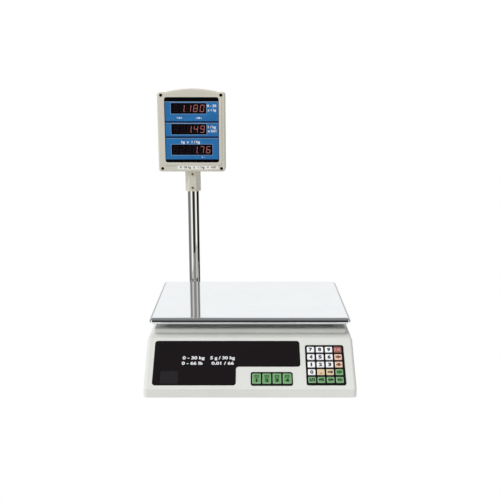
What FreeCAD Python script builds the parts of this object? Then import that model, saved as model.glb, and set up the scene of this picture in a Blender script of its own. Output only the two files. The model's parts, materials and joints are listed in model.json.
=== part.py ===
import FreeCAD, Part
import Sketcher
import os
import re

# A counter-top retail price scale. +X is the seller's right, +Y the back, +Z up.
# The origin is the centre of the base's footprint, on the counter.

doc = FreeCAD.newDocument("price_scale")

# Driving dimensions in millimetres. Names that end in top or bottom are heights above the counter,
# or on the sloped front distances up the slope.
DIMENSIONS = {
    # base shells
    "base_width": 350,
    "base_depth": 348,
    "base_bottom": 7,
    "parting": 21,
    "deck": 84,
    "panel_run": 73,
    "wall": 2.8,
    "floor_bottom": 8,
    "floor_top": 10.5,
    "corner_round": 7,
    "shoulder_round": 6,
    "crease_round": 3,
    "riser_width": 333,
    "riser_front": -84,
    "riser_back": 134,
    "riser_top": 94.2,
    "riser_round": 3,
    "groove_height": 2.4,
    "groove_depth": 1.4,
    "fit_gap": 0.1,
    # joints between the two shells
    "boss_x": 165,
    "boss_front_y": -140,
    "boss_back_y": 160,
    "boss_radius": 5,
    "boss_front_height": 24,
    "boss_hole_depth": 16,
    "chassis_boss_radius": 5.5,
    "screw_radius": 1.65,
    "screw_length": 24,
    "screw_hole": 1.7,
    "screw_passage": 2,
    "screw_head": 3.6,
    "screw_recess_radius": 4,
    "screw_recess_depth": 3,
    "screw_head_height": 2.6,
    # levelling feet
    "foot_x": 140,
    "foot_y": 128,
    "foot_radius": 13,
    "foot_rim": 3,
    "foot_neck_radius": 10,
    "foot_height": 5,
    "foot_seat": 2,
    "foot_thread": 4,
    "foot_length": 26,
    "foot_boss_radius": 8,
    "foot_collar_radius": 7,
    "foot_collar_height": 2.3,
    "foot_collar_gap": 0.2,
    "running_gap": 0.05,
    # window panel, measured across and up the slope
    "window_left": -161,
    "window_right": 84,
    "window_step": -23.4,
    "window_bottom": 7.7,
    "window_shelf": 41.5,
    "window_top": 90,
    "window_depth": 1.2,
    "window_proud": 0.2,
    "window_corner": 5,
    # seller's display behind the window
    "display_width": 46,
    "display_height": 18,
    "display_bottom": 66,
    "display_first": -148,
    "display_pitch": 82,
    "display_margin": 4,
    "module_gap": 0.5,
    "module_setback": 0.2,
    # keypad and memory keys, measured across and up the slope
    "keypad_left": 93,
    "keypad_right": 158,
    "keypad_bottom": 7.7,
    "keypad_top": 81.7,
    "memory_left": 1.2,
    "memory_right": 70.4,
    "memory_bottom": 7,
    "memory_top": 31.5,
    "bezel_depth": 1.8,
    "bezel_proud": 0.8,
    "bezel_ledge": 1.1,
    "bezel_corner": 3.5,
    "key_width": 12.2,
    "key_height": 11.2,
    "key_first_x": 96.1,
    "key_first_y": 11.2,
    "key_pitch_x": 15.2,
    "key_pitch_y": 13.9,
    "memory_key_width": 14,
    "memory_key_height": 18.6,
    "memory_key_first_x": 3.8,
    "memory_key_first_y": 9.8,
    "memory_key_pitch": 16.8,
    "key_gap": 0.3,
    "key_proud": 2.4,
    "key_flange": 0.7,
    "key_flange_thick": 1.2,
    "key_round": 0.9,
    "key_travel": 1.2,
    "stem_radius": 2,
    "stem_depth": 5,
    "switch_size": 6,
    "switch_rest_gap": 0.2,
    "board_top": 8.8,
    "board_thick": 1.6,
    "board_right": 158.5,
    "board_step_left": 90,
    "board_low_end": 35.5,
    "board_high_end": 83.7,
    # pan and what carries it
    "pan_width": 345,
    "pan_depth": 233,
    "pan_y": 23,
    "pan_top": 115.6,
    "pan_skirt": 11,
    "pan_sheet": 1,
    "pan_corner": 6,
    "pan_round": 3,
    "cup_x": 140,
    "cup_y": 90,
    "cup_radius": 8,
    "spider_top": 109,
    "spider_thick": 7.5,
    "spider_bar": 16,
    "spider_end_radius": 11,
    "spider_recess": 14,
    "hub_width": 140,
    "hub_depth": 56,
    "column_x": 45,
    "column_radius": 17,
    "aperture_radius": 24,
    "rim_height": 2,
    "rim_width": 3,
    "cell_length": 130,
    "cell_width": 30,
    "cell_height": 22,
    "cell_bottom": 24,
    "cell_bolt": 3,
    "cell_bolt_hole": 3.15,
    "cell_bolt_thread": 3.02,
    "cell_bolt_offset": 7.5,
    "cap_head_radius": 5,
    "cap_head_height": 6,
    "cap_recess_radius": 5.4,
    "fixed_screw_end": 16.5,
    "free_screw_end": 34,
    "flexure_x": 11,
    "flexure_radius": 7.5,
    "flexure_slot": 3,
    "mount_reach": 32,
    "mount_side": 26,
    "mount_thick": 4,
    "mount_block_reach": 14,
    "stop_nut_radius": 8,
    "stop_nut_height": 5,
    "stop_radius": 4,
    "stop_gap": 0.7,
    # pole and its socket
    "pole_x": -112.5,
    "pole_y": 156,
    "pole_radius": 11,
    "pole_wall": 1.2,
    "pole_bottom": 44,
    "pole_top": 352,
    "collar_radius": 16.5,
    "collar_top": 100,
    "sleeve_radius": 14.5,
    "sleeve_bottom": 40,
    "lug_reach": 26,
    "lug_side": 9,
    "lug_thick": 4,
    "cable_hole": 5,
    # pole head
    "head_width": 129.5,
    "head_bottom": 338,
    "head_shoulder": 489,
    "head_top": 495.5,
    "head_arch": 103.2,
    "head_front": 135.2,
    "head_back": 174,
    "head_wall": 2.5,
    "head_round": 3,
    "head_corner": 5.5,
    "neck_width": 29.2,
    "neck_bottom": 298.5,
    "neck_chamfer": 8,
    "lip_width": 5,
    "lip_height": 1.2,
    "glass_left": -163.5,
    "glass_right": -59.5,
    "glass_bottom": 356,
    "glass_top": 480,
    "glass_corner": 4.5,
    "glass_thick": 2,
    "view_margin": 4,
    "head_screw_x": 57.2,
    "head_screw_low": 344,
    "head_screw_high": 483.5,
    "head_screw_recess": 3.1,
    "head_screw_depth": 10,
    "head_screw_head": 2.9,
    "head_screw_height": 1.8,
    "head_screw_length": 20,
    "head_boss_radius": 4.8,
    "head_thread": 1.4,
    "head_thread_hole": 1.45,
    "head_thread_depth": 12,
    "neck_screw_low": 305.6,
    "neck_screw_high": 332,
    "neck_screw_head": 2.4,
    "neck_screw_height": 1.2,
    "neck_screw_length": 6,
    "neck_screw_hole": 1.5,
    # display board in the head
    "digit_left": -151,
    "digit_right": -83.5,
    "total_left": -151.4,
    "total_right": -72.5,
    "weight_bottom": 449,
    "weight_top": 468.5,
    "price_bottom": 409.7,
    "price_top": 430.4,
    "total_bottom": 370.5,
    "total_top": 390.5,
    "digit_front": 141.5,
    "digit_back": 150,
    "head_board_side": 8,
    "head_board_low": 4,
    "head_board_high": 6,
    # rear wall fittings
    "inlet_x": 110,
    "fitting_z": 50,
    "inlet_width": 27,
    "inlet_height": 19.6,
    "inlet_depth": 24,
    "inlet_side": 1.3,
    "inlet_roof": 1.4,
    "inlet_recess": 17,
    "inlet_pin_side": 7,
    "inlet_pin_rise": 2,
    "inlet_pin_width": 2,
    "inlet_pin_height": 4,
    "inlet_pin_tip": 6,
    "switch_x": 66,
    "switch_depth": 16,
    "switch_recess": 12,
    "switch_side": 0.8,
    "switch_roof": 1,
    "rocker_width": 19,
    "rocker_height": 12.8,
    "rocker_gap": 0.3,
    "rocker_pivot": 4,
    "rocker_tilt": 10,
    "trunnion_radius": 1,
    "trunnion_reach": 0.6,
    "trunnion_gap": 0.2,
    "fitting_flange": 1.5,
    "fitting_margin": 2,
    "level_x": 130,
    "level_y": 154,
    "level_radius": 8,
    "level_depth": 7,
    "level_flange_radius": 10,
    "level_flange_thick": 1.2,
    # inner units
    "battery_left": -165,
    "battery_front": -60,
    "battery_width": 70,
    "battery_depth": 101,
    "battery_height": 47,
    "battery_tab_first": 12,
    "battery_tab_second": 53,
    "battery_tab_width": 5,
    "battery_tab_front": 6,
    "battery_tab_height": 6,
    "transformer_x": 86,
    "transformer_y": 84,
    "core_width": 50,
    "core_depth": 22,
    "core_height": 42,
    "winding_side": 9,
    "winding_rise": 8,
    "ear_width": 9,
    "ear_inset": 4,
    "ear_thick": 2,
    "main_board_left": 76,
    "main_board_front": -80,
    "main_board_width": 88,
    "main_board_depth": 120,
    "main_board_bottom": 20,
    "post_radius": 3,
}

sheet = doc.addObject("Spreadsheet::Sheet", "dims")
for row, (alias, size) in enumerate(DIMENSIONS.items(), 1):
    sheet.set(f"A{row}", alias)
    sheet.set(f"B{row}", str(size))
    sheet.setAlias(f"B{row}", alias)
doc.recompute()

# Lengths that follow from the driving dimensions, as expressions.
RISE = "(deck - parting)"
SLOPE = f"sqrt(panel_run^2 + {RISE}^2)"
SLOPE_ANGLE = f"atan2({RISE}; panel_run)"
FRONT = "(-base_depth/2)"
BACK = "(base_depth/2)"
CELL_TOP = "(cell_bottom + cell_height)"
SPIDER_BOTTOM = "(spider_top - spider_thick)"
CUP_REACH = "sqrt(cup_x^2 + cup_y^2)"
BORE = "(pole_radius + running_gap)"
SWITCH_TOP = "(stem_depth + key_travel + switch_rest_gap)"

WORD = re.compile(r"[a-z]\w*")
pieces = []


def in_sheet(text):
    """The expression, with each driving dimension read from the sheet."""
    return WORD.sub(lambda word: f"dims.{word[0]}" if word[0] in DIMENSIONS else word[0], str(text))


def value(text):
    """The expression's value as a plain number."""
    return float(sheet.evalExpression(in_sheet(text)))


def bind(item, prop, text):
    item.setExpression(prop, in_sheet(text))


def keep(item):
    """Lists a finished sub-part."""
    item.Label = item.Name
    pieces.append(item)
    return item


# Primitives and booleans. A cutting tool runs 1 mm past the face that it cuts.

def box(name, across, along, up):
    """A block between (low, high) expressions on X, Y and Z."""
    block = doc.addObject("Part::Box", name)
    spans = (("Length", "x", across), ("Width", "y", along), ("Height", "z", up))
    for side, axis, (low, high) in spans:
        bind(block, side, f"({high}) - ({low})")
        bind(block, f"Placement.Base.{axis}", low)
    return block


TURNS = {
    "z": FreeCAD.Rotation(),
    "y": FreeCAD.Rotation(FreeCAD.Vector(1, 0, 0), -90),
}


def rod(name, start, radius, length, axis="z"):
    """A cylinder that begins at start and runs along axis."""
    cylinder = doc.addObject("Part::Cylinder", name)
    cylinder.Placement.Rotation = TURNS[axis]
    bind(cylinder, "Radius", radius)
    bind(cylinder, "Height", length)
    for letter, place in zip("xyz", start):
        bind(cylinder, f"Placement.Base.{letter}", place)
    return cylinder


def fuse(name, *shapes):
    union = doc.addObject("Part::MultiFuse", name)
    union.Shapes = list(shapes)
    return union


def cut(name, base, *tools):
    """The base less its tools; it stops if a tool misses."""
    result = doc.addObject("Part::Cut", name)
    result.Base = base
    result.Tool = tools[0] if len(tools) == 1 else fuse(f"{name}_tools", *tools)
    doc.recompute()
    if result.Shape.Volume >= base.Shape.Volume:
        raise ValueError(f"{name}: nothing was cut")
    return result


def group(name, *shapes):
    """Separate solids that are kept together."""
    compound = doc.addObject("Part::Compound", name)
    compound.Links = list(shapes)
    return compound


def on_slope(item):
    """Places an item drawn flat (X across, Y up the slope, Z outward) on the sloped front."""
    item.Placement.Rotation = FreeCAD.Rotation(FreeCAD.Vector(1, 0, 0), 1)
    bind(item, "Placement.Base.y", FRONT)
    bind(item, "Placement.Base.z", "parting")
    bind(item, "Placement.Rotation.Angle", SLOPE_ANGLE)
    return item


# Sketched bodies

def new_body(name):
    return doc.addObject("PartDesign::Body", name)


def sketch(body, name, plane, offset="0", tilted=False):
    """A sketch on an origin plane, moved along its normal or laid on the sloped front."""
    drawing = body.newObject("Sketcher::SketchObject", name)
    support = next(item for item in body.Origin.OriginFeatures if item.Role == plane)
    drawing.AttachmentSupport = [(support, "")]
    drawing.MapMode = "FlatFace"
    if tilted:
        turn = FreeCAD.Rotation(FreeCAD.Vector(1, 0, 0), 1)
        drawing.AttachmentOffset = FreeCAD.Placement(FreeCAD.Vector(), turn)
        bind(drawing, "AttachmentOffset.Base.y", FRONT)
        bind(drawing, "AttachmentOffset.Base.z", "parting")
        bind(drawing, "AttachmentOffset.Rotation.Angle", SLOPE_ANGLE)
    else:
        bind(drawing, "AttachmentOffset.Base.z", offset)
    return drawing


def lock(drawing, kind, geometry, point, text):
    """Fixes one coordinate of a point to an expression."""
    index = drawing.addConstraint(Sketcher.Constraint(kind, geometry, point, value(text)))
    drawing.setExpression(f"Constraints[{index}]", in_sheet(text))


def polygon(drawing, corners):
    """A closed outline through corners given as pairs of expressions."""
    places = [FreeCAD.Vector(value(u), value(v), 0) for u, v in corners]
    first = drawing.GeometryCount
    count = len(corners)
    for n in range(count):
        drawing.addGeometry(Part.LineSegment(places[n], places[(n + 1) % count]), False)
    for n, (u, v) in enumerate(corners):
        follower = first + (n + 1) % count
        drawing.addConstraint(Sketcher.Constraint("Coincident", first + n, 2, follower, 1))
        lock(drawing, "DistanceX", first + n, 1, u)
        lock(drawing, "DistanceY", first + n, 1, v)


def rectangle(drawing, across, up):
    (left, right), (low, high) = across, up
    polygon(drawing, [(left, low), (right, low), (right, high), (left, high)])


def circle(drawing, u, v, radius):
    centre = FreeCAD.Vector(value(u), value(v), 0)
    ring = Part.Circle(centre, FreeCAD.Vector(0, 0, 1), value(radius))
    index = drawing.addGeometry(ring, False)
    lock(drawing, "DistanceX", index, 3, u)
    lock(drawing, "DistanceY", index, 3, v)
    size = drawing.addConstraint(Sketcher.Constraint("Radius", index, value(radius)))
    drawing.setExpression(f"Constraints[{size}]", in_sheet(radius))


def pad(body, drawing, length, midplane=False, flipped=False):
    feature = body.newObject("PartDesign::Pad", f"{drawing.Name}_pad")
    feature.Profile = drawing
    feature.Midplane = midplane
    feature.Reversed = flipped
    bind(feature, "Length", length)
    drawing.Visibility = False
    doc.recompute()
    return feature


def pocket(body, drawing, depth, midplane=False, flipped=False):
    """A pocket that stops the build if it points away from the solid."""
    before = body.Shape.Volume
    feature = body.newObject("PartDesign::Pocket", f"{drawing.Name}_pocket")
    feature.Profile = drawing
    feature.Midplane = midplane
    feature.Reversed = flipped
    bind(feature, "Length", depth)
    doc.recompute()
    if body.Shape.Volume >= before:
        raise ValueError(f"{feature.Name}: nothing was cut")
    return feature


def round_edges(body, name, radius, chosen):
    """Fillets the edges of the body's tip whose middle point passes the test."""
    tip = body.Tip
    names = []
    for number, edge in enumerate(tip.Shape.Edges, 1):
        middle = edge.valueAt((edge.FirstParameter + edge.LastParameter) / 2)
        if chosen(edge, middle):
            names.append(f"Edge{number}")
    if not names:
        raise ValueError(f"{name}: no edge found")
    feature = body.newObject("PartDesign::Fillet", name)
    feature.Base = (tip, names)
    bind(feature, "Radius", radius)
    doc.recompute()
    return feature


def near(first, second):
    return abs(first - second) < 0.01


AXES = {
    "x": FreeCAD.Vector(1, 0, 0),
    "y": FreeCAD.Vector(0, 1, 0),
    "z": FreeCAD.Vector(0, 0, 1),
}


def runs_along(edge, direction):
    """Whether an edge is straight and runs along a direction."""
    if len(edge.Vertexes) != 2:
        return False
    chord = edge.Vertexes[1].Point - edge.Vertexes[0].Point
    return near(chord.Length, edge.Length) and near(abs(chord.dot(direction)), chord.Length)


def along(edge, axis):
    return runs_along(edge, AXES[axis])


# Places that several sub-parts share

BOSSES = [(x, "boss_front_y") for x in ("-boss_x", "-12", "boss_x")]
BOSSES += [(x, "boss_back_y") for x in ("-boss_x + 5", "0", "boss_x")]
FEET = {
    "front_left": ("-foot_x", "-foot_y"),
    "front_right": ("foot_x", "-foot_y"),
    "back_left": ("-foot_x", "foot_y"),
    "back_right": ("foot_x", "foot_y"),
}
FIXED_BOLTS = [f"-column_x {sign} cell_bolt_offset" for sign in "-+"]
FREE_BOLTS = [f"column_x {sign} cell_bolt_offset" for sign in "-+"]
DISPLAYS = [f"display_first + {n}*display_pitch" for n in range(3)]

# Keypad rows from the seller's edge upwards.
KEY_ROWS = (
    ("key_unit_price", "key_total", "key_subtotal", "key_change"),
    ("key_0", "key_point", "key_clear", "key_accumulate"),
    ("key_1", "key_2", "key_3", "key_tare"),
    ("key_4", "key_5", "key_6", "key_zero"),
    ("key_7", "key_8", "key_9", "key_power_save"),
)


def key_places():
    """Each key's name, its left edge, its lower edge, its width and its height."""
    for row, names in enumerate(KEY_ROWS):
        for column, name in enumerate(names):
            left = f"key_first_x + {column}*key_pitch_x"
            low = f"key_first_y + {row}*key_pitch_y"
            yield name, left, low, "key_width", "key_height"
    for number in range(4):
        left = f"memory_key_first_x + {number}*memory_key_pitch"
        yield (f"memory_key_{number + 1}", left, "memory_key_first_y",
               "memory_key_width", "memory_key_height")


# Base shells

def make_lower_chassis():
    body = new_body("lower_chassis")
    outline = sketch(body, "chassis_outline", "XY_Plane", "base_bottom")
    rectangle(outline, ("-base_width/2", "base_width/2"), (FRONT, BACK))
    pad(body, outline, "parting - base_bottom")
    round_edges(body, "chassis_corners", "corner_round", lambda edge, middle: along(edge, "z"))
    inner = (("-base_width/2 + wall", "base_width/2 - wall"), (f"{FRONT} + wall", f"{BACK} - wall"))
    cavity = sketch(body, "chassis_cavity", "XY_Plane", "parting")
    rectangle(cavity, *inner)
    pocket(body, cavity, "parting - floor_top")
    underside = sketch(body, "chassis_underside", "XY_Plane", "base_bottom")
    rectangle(underside, *inner)
    pocket(body, underside, "floor_bottom - base_bottom", flipped=True)
    bosses = sketch(body, "chassis_bosses", "XY_Plane", "floor_bottom")
    for x, y in BOSSES:
        circle(bosses, x, y, "chassis_boss_radius")
    pad(body, bosses, "parting - floor_bottom")
    foot_bosses = sketch(body, "chassis_foot_bosses", "XY_Plane", "floor_bottom")
    for x, y in FEET.values():
        circle(foot_bosses, x, y, "foot_boss_radius")
    pad(body, foot_bosses, "parting - floor_bottom - 1")
    recesses = sketch(body, "chassis_screw_recesses", "XY_Plane", "floor_bottom")
    for x, y in BOSSES:
        circle(recesses, x, y, "screw_recess_radius")
    pocket(body, recesses, "screw_recess_depth", flipped=True)
    holes = sketch(body, "chassis_holes", "XY_Plane", "floor_bottom")
    for x, y in BOSSES:
        circle(holes, x, y, "screw_passage")
    for x, y in FEET.values():
        circle(holes, x, y, "foot_thread + running_gap")
    pocket(body, holes, "parting", flipped=True)
    return keep(body)


def make_upper_housing():
    body = new_body("upper_housing")
    profile = sketch(body, "housing_profile", "YZ_Plane")
    polygon(profile, [(FRONT, "parting"), (f"{FRONT} + panel_run", "deck"),
                      (BACK, "deck"), (BACK, "parting")])
    pad(body, profile, "base_width", midplane=True)
    half = value("base_width/2")
    parting = value("parting")
    shoulders = lambda edge, middle: near(abs(middle.x), half) and middle.z > parting + 1
    round_edges(body, "housing_shoulders", "shoulder_round", shoulders)
    deck = value("deck")
    creases = lambda edge, middle: along(edge, "x") and near(middle.z, deck)
    round_edges(body, "housing_creases", "crease_round", creases)

    groove = sketch(body, "riser_groove", "XY_Plane", "deck - 1")
    rectangle(groove, ("-riser_width/2 + groove_depth", "riser_width/2 - groove_depth"),
              ("riser_front + groove_depth", "riser_back - groove_depth"))
    pad(body, groove, "groove_height + 2")
    riser = sketch(body, "riser_outline", "XY_Plane", "deck + groove_height")
    rectangle(riser, ("-riser_width/2", "riser_width/2"), ("riser_front", "riser_back"))
    pad(body, riser, "riser_top - deck - groove_height")
    foot = value("deck + groove_height")
    top = value("riser_top")
    on_riser = lambda edge, middle: middle.z > foot + 1 and (along(edge, "z") or near(middle.z, top))
    round_edges(body, "riser_edges", "riser_round", on_riser)

    cavity = sketch(body, "housing_cavity", "YZ_Plane")
    wall_run = f"wall*{SLOPE}/{RISE}"
    inner_top = f"{FRONT} + {wall_run} + ({RISE} - wall)*panel_run/{RISE}"
    polygon(cavity, [(f"{FRONT} + {wall_run}", "parting"), (inner_top, "deck - wall"),
                     (f"{BACK} - wall", "deck - wall"), (f"{BACK} - wall", "parting")])
    pocket(body, cavity, "base_width - 2*wall", midplane=True)
    hollow = sketch(body, "riser_cavity", "XY_Plane", "deck - wall")
    rectangle(hollow, ("-riser_width/2 + wall", "riser_width/2 - wall"),
              ("riser_front + wall", "riser_back - wall"))
    pocket(body, hollow, "riser_top - deck", flipped=True)

    rim = sketch(body, "aperture_rim", "XY_Plane", "riser_top - 1")
    circle(rim, "column_x", "pan_y", "aperture_radius + rim_width")
    pad(body, rim, "rim_height + 1")
    aperture = sketch(body, "column_aperture", "XY_Plane", "riser_top + rim_height")
    circle(aperture, "column_x", "pan_y", "aperture_radius")
    pocket(body, aperture, "wall + rim_height + 1")

    front_bosses = sketch(body, "housing_front_bosses", "XY_Plane", "parting")
    back_bosses = sketch(body, "housing_back_bosses", "XY_Plane", "parting")
    for x, y in BOSSES:
        circle(front_bosses if y == "boss_front_y" else back_bosses, x, y, "boss_radius")
    pad(body, front_bosses, "boss_front_height")
    pad(body, back_bosses, f"{RISE} - 1")
    holes = sketch(body, "housing_boss_holes", "XY_Plane", "parting")
    for x, y in BOSSES:
        circle(holes, x, y, "screw_hole")
    pocket(body, holes, "boss_hole_depth", flipped=True)

    window = sketch(body, "window_recess", "XY_Plane", tilted=True)
    polygon(window, window_outline("key_gap/2"))
    pocket(body, window, "window_depth")
    outward = window.Placement.Rotation.multVec(FreeCAD.Vector(0, 0, 1))
    round_edges(body, "window_recess_corners", "window_corner",
                lambda edge, middle: runs_along(edge, outward))
    bezel_sides = []
    for group_name in ("keypad", "memory"):
        across, up = bezel_span(group_name, "-key_gap/2")
        recess = sketch(body, f"{group_name}_recess", "XY_Plane", tilted=True)
        rectangle(recess, across, up)
        pocket(body, recess, "bezel_depth")
        bezel_sides += [value(across[0]), value(across[1])]

    def on_bezel_corner(edge, middle):
        return runs_along(edge, outward) and any(near(middle.x, side) for side in bezel_sides)

    round_edges(body, "bezel_recess_corners", "bezel_corner", on_bezel_corner)
    displays = sketch(body, "display_apertures", "XY_Plane", tilted=True)
    for left in DISPLAYS:
        rectangle(displays, (left, f"{left} + display_width"),
                  ("display_bottom", "display_bottom + display_height"))
    pocket(body, displays, "wall + 1")
    for group_name in ("keypad", "memory"):
        opening = sketch(body, f"{group_name}_opening", "XY_Plane", tilted=True)
        rectangle(opening, *bezel_span(group_name, "bezel_ledge"))
        pocket(body, opening, "wall + 1")

    fittings = sketch(body, "rear_cutouts", "XZ_Plane", f"-{BACK}")
    for x, width, height in (("inlet_x", "inlet_width", "inlet_height"),
                             ("switch_x", "rocker_width", "rocker_height")):
        rectangle(fittings, (f"{x} - {width}/2 - fit_gap", f"{x} + {width}/2 + fit_gap"),
                  (f"fitting_z - {height}/2 - fit_gap", f"fitting_z + {height}/2 + fit_gap"))
    pocket(body, fittings, "wall + 1", flipped=True)
    deck_holes = sketch(body, "deck_holes", "XY_Plane", "deck")
    circle(deck_holes, "pole_x", "pole_y", "sleeve_radius + fit_gap")
    circle(deck_holes, "level_x", "level_y", "level_radius + fit_gap")
    pocket(body, deck_holes, "wall + 1")
    return keep(body)


def window_outline(grow):
    """The L-shaped window's corners, moved outward by grow."""
    left, right = f"window_left - {grow}", f"window_right + {grow}"
    step, shelf = f"window_step + {grow}", f"window_shelf - {grow}"
    low, high = f"window_bottom - {grow}", f"window_top + {grow}"
    return [(left, low), (step, low), (step, shelf), (right, shelf), (right, high), (left, high)]


def bezel_span(name, inset):
    """A bezel's span across and up the slope, moved inward by inset."""
    across = (f"{name}_left + ({inset})", f"{name}_right - ({inset})")
    up = (f"{name}_bottom + ({inset})", f"{name}_top - ({inset})")
    return across, up


def make_window_panel():
    body = new_body("window_panel")
    outline = sketch(body, "window_outline", "XY_Plane", "-window_depth")
    polygon(outline, window_outline("0"))
    pad(body, outline, "window_depth + window_proud")
    round_edges(body, "window_corners", "window_corner", lambda edge, middle: along(edge, "z"))
    on_slope(body)
    return keep(body)


def make_bezel(group_name):
    """A black frame with one pocket for each of its keys."""
    body = new_body(f"{group_name}_bezel")
    outline = sketch(body, f"{group_name}_bezel_outline", "XY_Plane", "-bezel_depth")
    rectangle(outline, *bezel_span(group_name, "0"))
    pad(body, outline, "bezel_depth + bezel_proud")
    round_edges(body, f"{group_name}_bezel_corners", "bezel_corner",
                lambda edge, middle: along(edge, "z"))
    holes = sketch(body, f"{group_name}_bezel_holes", "XY_Plane", "bezel_proud")
    for name, left, low, width, height in key_places():
        if name.startswith("memory") == (group_name == "memory"):
            rectangle(holes, (f"{left} - key_gap", f"{left} + {width} + key_gap"),
                      (f"{low} - key_gap", f"{low} + {height} + key_gap"))
    pocket(body, holes, "bezel_depth + bezel_proud + 1")
    on_slope(body)
    return keep(body)


def make_keys():
    """Caps with a retaining flange under the bezel and a stem over the switch."""
    flange_top = "-bezel_depth - fit_gap"
    for name, left, low, width, height in key_places():
        body = new_body(name)
        stem = sketch(body, f"{name}_stem", "XY_Plane", "-stem_depth")
        circle(stem, f"{left} + {width}/2", f"{low} + {height}/2", "stem_radius")
        pad(body, stem, "stem_depth - bezel_depth - key_flange_thick/2")
        flange = sketch(body, f"{name}_flange", "XY_Plane", f"{flange_top} - key_flange_thick")
        rectangle(flange, (f"{left} - key_flange", f"{left} + {width} + key_flange"),
                  (f"{low} - key_flange", f"{low} + {height} + key_flange"))
        pad(body, flange, "key_flange_thick")
        cap = sketch(body, f"{name}_cap", "XY_Plane", flange_top)
        rectangle(cap, (left, f"{left} + {width}"), (low, f"{low} + {height}"))
        pad(body, cap, "bezel_depth + fit_gap + bezel_proud + key_proud")
        top = value("bezel_proud + key_proud")
        edges = lambda edge, middle: near(middle.z, top) or (along(edge, "z") and middle.z > 0)
        round_edges(body, f"{name}_round", "key_round", edges)
        on_slope(body)
        keep(body)


def make_keypad_board():
    """The board under both key groups, with a switch under each stem."""
    thickness = ("-board_top - board_thick", "-board_top")
    low_plate = box("keypad_board_low", ("memory_left", "board_right"),
                    ("memory_bottom", "board_low_end"), thickness)
    high_plate = box("keypad_board_high", ("board_step_left", "board_right"),
                     ("memory_bottom", "board_high_end"), thickness)
    switches = []
    for name, left, low, width, height in key_places():
        x = f"{left} + {width}/2"
        y = f"{low} + {height}/2"
        switches.append(box(f"{name}_switch", (f"{x} - switch_size/2", f"{x} + switch_size/2"),
                            (f"{y} - switch_size/2", f"{y} + switch_size/2"),
                            ("-board_top", f"-{SWITCH_TOP}")))
    return keep(on_slope(fuse("keypad_board", low_plate, high_plate, *switches)))


def make_seller_display():
    """Three display modules on one board, behind the window panel."""
    right = f"{DISPLAYS[-1]} + display_width + display_margin"
    board = box("seller_board_plate", ("display_first - display_margin", right),
                ("display_bottom - display_margin", "display_bottom + display_height + display_margin"),
                ("-board_top - board_thick", "-board_top"))
    modules = [box(f"seller_module_{n}", (f"{left} + module_gap", f"{left} + display_width - module_gap"),
                   ("display_bottom + module_gap", "display_bottom + display_height - module_gap"),
                   ("-board_top", "-window_depth - module_setback"))
               for n, left in enumerate(DISPLAYS, 1)]
    return keep(on_slope(fuse("seller_display", board, *modules)))


# Fasteners and feet

def make_housing_screws():
    screws = []
    seat = "floor_bottom + screw_recess_depth"
    for n, (x, y) in enumerate(BOSSES, 1):
        head = rod(f"housing_screw_head_{n}", (x, y, f"{seat} - screw_head_height"), "screw_head",
                   "screw_head_height")
        shank = rod(f"housing_screw_shank_{n}", (x, y, seat), "screw_radius", "screw_length")
        screws.append(fuse(f"housing_screw_{n}", head, shank))
    return keep(group("housing_screws", *screws))


def make_feet():
    """Swivel pads, each on a threaded stud with a hand-turned collar."""
    for corner, (x, y) in FEET.items():
        disc = rod(f"foot_disc_{corner}", (x, y, "0"), "foot_radius", "foot_rim")
        step = rod(f"foot_step_{corner}", (x, y, "0"), "foot_neck_radius", "foot_height")
        socket = rod(f"foot_socket_{corner}", (x, y, "foot_seat"), "foot_thread + running_gap", "foot_height")
        keep(cut(f"foot_pad_{corner}", fuse(f"foot_blank_{corner}", disc, step), socket))
        stud = rod(f"foot_stud_{corner}", (x, y, "foot_seat"), "foot_thread", "foot_length")
        collar = rod(f"foot_collar_{corner}", (x, y, "foot_height + foot_collar_gap"),
                     "foot_collar_radius", "foot_collar_height")
        keep(fuse(f"foot_screw_{corner}", stud, collar))


# Weighing platform

def make_load_cell():
    """A single-point bending beam with its twin-bore flexure."""
    half = "cell_length/2"
    beam = box("cell_beam", (f"-{half}", half), ("pan_y - cell_width/2", "pan_y + cell_width/2"),
               ("cell_bottom", CELL_TOP))
    middle = "cell_bottom + cell_height/2"
    front = "pan_y - cell_width/2 - 1"
    length = "cell_width + 2"
    bores = [rod(f"cell_bore_{n}", (x, front, middle), "flexure_radius", length, "y")
             for n, x in enumerate(("-flexure_x", "flexure_x"), 1)]
    slot = box("cell_slot", ("-flexure_x", "flexure_x"), (front, f"{front} + {length}"),
               (f"{middle} - flexure_slot", f"{middle} + flexure_slot"))
    bolts = [rod(f"cell_hole_{n}", (x, "pan_y", "cell_bottom - 1"), "cell_bolt_hole",
                 "cell_height + 2")
             for n, x in enumerate(FIXED_BOLTS + FREE_BOLTS, 1)]
    return keep(cut("load_cell", beam, *bores, slot, *bolts))


def make_load_cell_mount():
    """The pedestal and cap screws of the beam's fixed end, and the stop under its free end."""
    foot = box("mount_foot", ("-column_x - mount_reach", "-column_x + mount_reach"),
               ("pan_y - mount_side", "pan_y + mount_side"), ("floor_top", "floor_top + mount_thick"))
    block = box("mount_block", ("-cell_length/2", "-column_x + mount_block_reach"),
                ("pan_y - cell_width/2", "pan_y + cell_width/2"), ("floor_top", "cell_bottom"))
    threads = [rod(f"mount_thread_{n}", (x, "pan_y", "floor_top - 1"), "cell_bolt_thread",
                   "cell_bottom - floor_top + 2")
               for n, x in enumerate(FIXED_BOLTS, 1)]
    pedestal = cut("pedestal", fuse("pedestal_blank", foot, block), *threads)
    nut = rod("stop_nut", ("column_x", "pan_y", "floor_top"), "stop_nut_radius", "stop_nut_height")
    stop = rod("stop_stud", ("column_x", "pan_y", "floor_top"), "stop_radius",
               "cell_bottom - floor_top - stop_gap")
    screws = cap_screws("cell_screw", FIXED_BOLTS, CELL_TOP, "fixed_screw_end")
    return keep(group("load_cell_mount", pedestal, fuse("stop_screw", nut, stop), *screws))


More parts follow.
